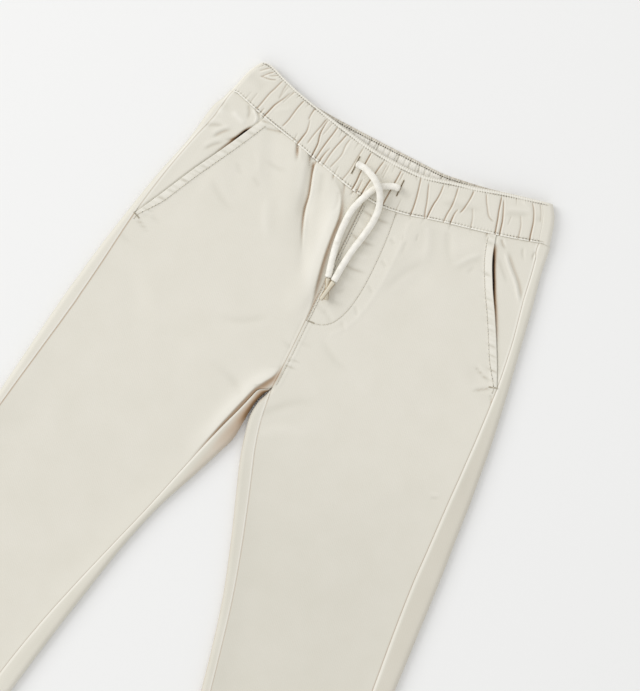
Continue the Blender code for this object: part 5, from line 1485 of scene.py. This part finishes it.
def needle_holes(name, places, finish, radius):
    """Round dimples: a level rim, a ring halfway down and a ring at the bottom, closed."""
    places = np.asarray(places)
    turn = np.arange(HOLE["sides"]) * 2 * math.pi / HOLE["sides"]
    rings = np.array(((1.0, 0.05), (0.55, -0.4), (0.1, -1.0)))
    ring = np.stack((rings[:, :1] * np.cos(turn) * radius, rings[:, :1] * np.sin(turn) * radius,
                     rings[:, 1:] * HOLE["depth"] * np.ones_like(turn)), axis=-1)
    points = places[:, None, None] + ring[None]
    index = np.arange(points.size // 3).reshape(points.shape[:3])
    quads = ring_quads(index)[:, (0, 3, 2, 1)]
    faces = quads.tolist() + index[:, -1].tolist()
    corners = np.concatenate((quads.ravel(), index[:, -1].ravel()))
    return add_piece(name, points.reshape(-1, 3), faces, points.reshape(-1, 3)[corners, :2], finish)


def sewn(name, line, height, finish, stitch=STITCH, holes="panel"):
    """A row of stitches along a flat line, at the cloth's own height, with its needle holes."""
    line = smooth_route(line, ROUTE_STEP)
    run = run_along(line)
    begin = np.arange(0.3, run[-1] - stitch["length"], stitch["pitch"])

    def on_cloth(mark):
        x, y = np.interp(mark, run, line[:, 0]), np.interp(mark, run, line[:, 1])
        return grid(x, y, height(x, y) + STITCH_LIFT)

    between_two = begin - (stitch["pitch"] - stitch["length"]) / 2
    needle_holes(name + "_holes", on_cloth(between_two), hole_shadow_finish, HOLE["radius"][holes])
    return stitches(name, on_cloth(begin), on_cloth(begin + stitch["length"]), finish, ARCH["stitch"])


def satin(start, end, width, height):
    """Bars square to a short line, side by side along it: where each starts and ends."""
    start, end = np.array(start, dtype=float), np.array(end, dtype=float)
    ahead = unit(end - start)
    beside = np.array((-ahead[1], ahead[0])) * width / 2
    marks = start + ahead * np.arange(0, np.linalg.norm(end - start) + 1e-6, BAR_PITCH)[:, None]
    return [grid(x, y, height(x, y) + 0.1) for x, y in ((marks - beside).T, (marks + beside).T)]


def front_height(side):
    """The front panel's height, as a function of place."""
    return lambda x, y: skin(side, x, y) - front_relief(side, x, y)


def band_height(x, y):
    """The front half's height at a place: its share and height up the band are worked back."""
    up = np.full(np.shape(x), 0.5)
    for _ in range(SETTLE_ROUNDS):
        low, high = (band_point(x, 0 * up + end, FRONT_SEAM, FRONT_TOP) for end in (0, 1))
        up = np.clip((y - low) / (high - low), 0, 1)
    left, right = band_ends(up)
    return band_front_skin(x, up) - band_relief(x, up, y, (x - left) / (right - left)) + slit(x, y)


def band_line(up, shares, seam, top):
    """A line along the band at a height up it, between two shares of its width."""
    share = np.linspace(*shares, 160)
    at = up(share)
    left, right = band_ends(at)
    x = left + share * (right - left)
    return grid(x, band_point(x, at, seam, top))


def mouth_line(side, off):
    """A line beside the pocket mouth, at a distance in from its edge that narrows at its foot."""
    y = np.linspace(*MOUTH_ROW, 60)
    off = off * (0.4 + 0.6 * smoothstep((y - MOUTH_ROW[0]) / 26))
    slope = (mouth(side, y + 1.0) - mouth(side, y - 1.0)) / 2
    x = mouth(side, y) - sign(side) * off * np.sqrt(1 + slope ** 2)
    return grid(x, y)[y < read(FRONT_SEAM, x) - 1.0]


def beside_centre(off, low, high):
    """A line beside the centre front, on the wearer's left."""
    y = np.linspace(low, high, 40)
    return grid(outline("r_seam", y) + off, y)


# the needle holes' finish is painted shadow
hole_shadow_finish = thread_finish("shaded needle holes", HOLE_SHADOW_COLOUR)
topstitch = thread_finish("cream polyester topstitching", THREAD_COLOUR["topstitch"])
buttonhole_thread = thread_finish("buttonhole thread", THREAD_COLOUR["buttonhole"])
bartack_thread = thread_finish("bartack thread", THREAD_COLOUR["bartack"])


def inside_height(x, y):
    """The back half's inner face, where it lies on the floor."""
    return BAND_CLOTH + 0 * x


inside = band_line(lambda share: INSIDE_ROW["up"] + 0 * share, INSIDE_ROW["shares"], BACK_SEAM, BACK_TOP)
sewn("sewing_band_inside", inside, inside_height, topstitch, BAND_STITCH["high"], "band")
for row, stitch in BAND_STITCH.items():
    line = band_line(lambda share: row_height(row, share), BAND_ROW, FRONT_SEAM, FRONT_TOP)
    sewn("sewing_band_" + row, line, band_height, topstitch, stitch, "band")
for side, hand in (("l", "right"), ("r", "left")):
    sewn(f"sewing_pocket_{hand}", mouth_line(side, MOUTH_STITCH[side]), front_height(side), topstitch)
    hem_y = HEM_Y + HEM_DEPTH
    inner, outer = (float(outline(side + name, np.array(hem_y))) for name in ("_seam", "_side"))
    hem = grid(np.linspace(inner + sign(side), outer - sign(side), 60), hem_y)
    sewn(f"sewing_hem_{hand}", hem, front_height(side), topstitch)
    starts, ends = satin(*BARTACKS[hand], BARTACK_WIDTH, front_height(side))
    stitches(f"bartack_pocket_{hand}", starts, ends, bartack_thread)
sewn("sewing_fly_j", np.array(J_STITCH, dtype=float), front_height("r"), topstitch)
sewn("sewing_front_seam", beside_centre(2.4, 12, 178), front_height("r"), topstitch)
sewn("sewing_front_edge", beside_centre(0.6, 70, 178), front_height("r"), topstitch)
starts, ends = satin(*FLY_BARTACK, BARTACK_WIDTH, front_height("r"))
stitches("bartack_fly", starts, ends, bartack_thread)
for hand, (middle, height, length) in BUTTONHOLES.items():
    reach, tall = BUTTONHOLE_SLIT["half"], length / 2
    lines = [((x, height - tall), (x, height + tall))
             for x in (middle - reach - PURL_WIDTH / 2, middle + reach + PURL_WIDTH / 2)]
    lines += [((middle - reach, y), (middle + reach, y)) for y in (height - tall, height + tall)]
    bars = [satin(start, end, PURL_WIDTH, band_height) for start, end in lines]
    starts, ends = (np.vstack([bar[k] for bar in bars]) for k in (0, 1))
    stitches(f"buttonhole_{hand}", starts, ends, buttonhole_thread)
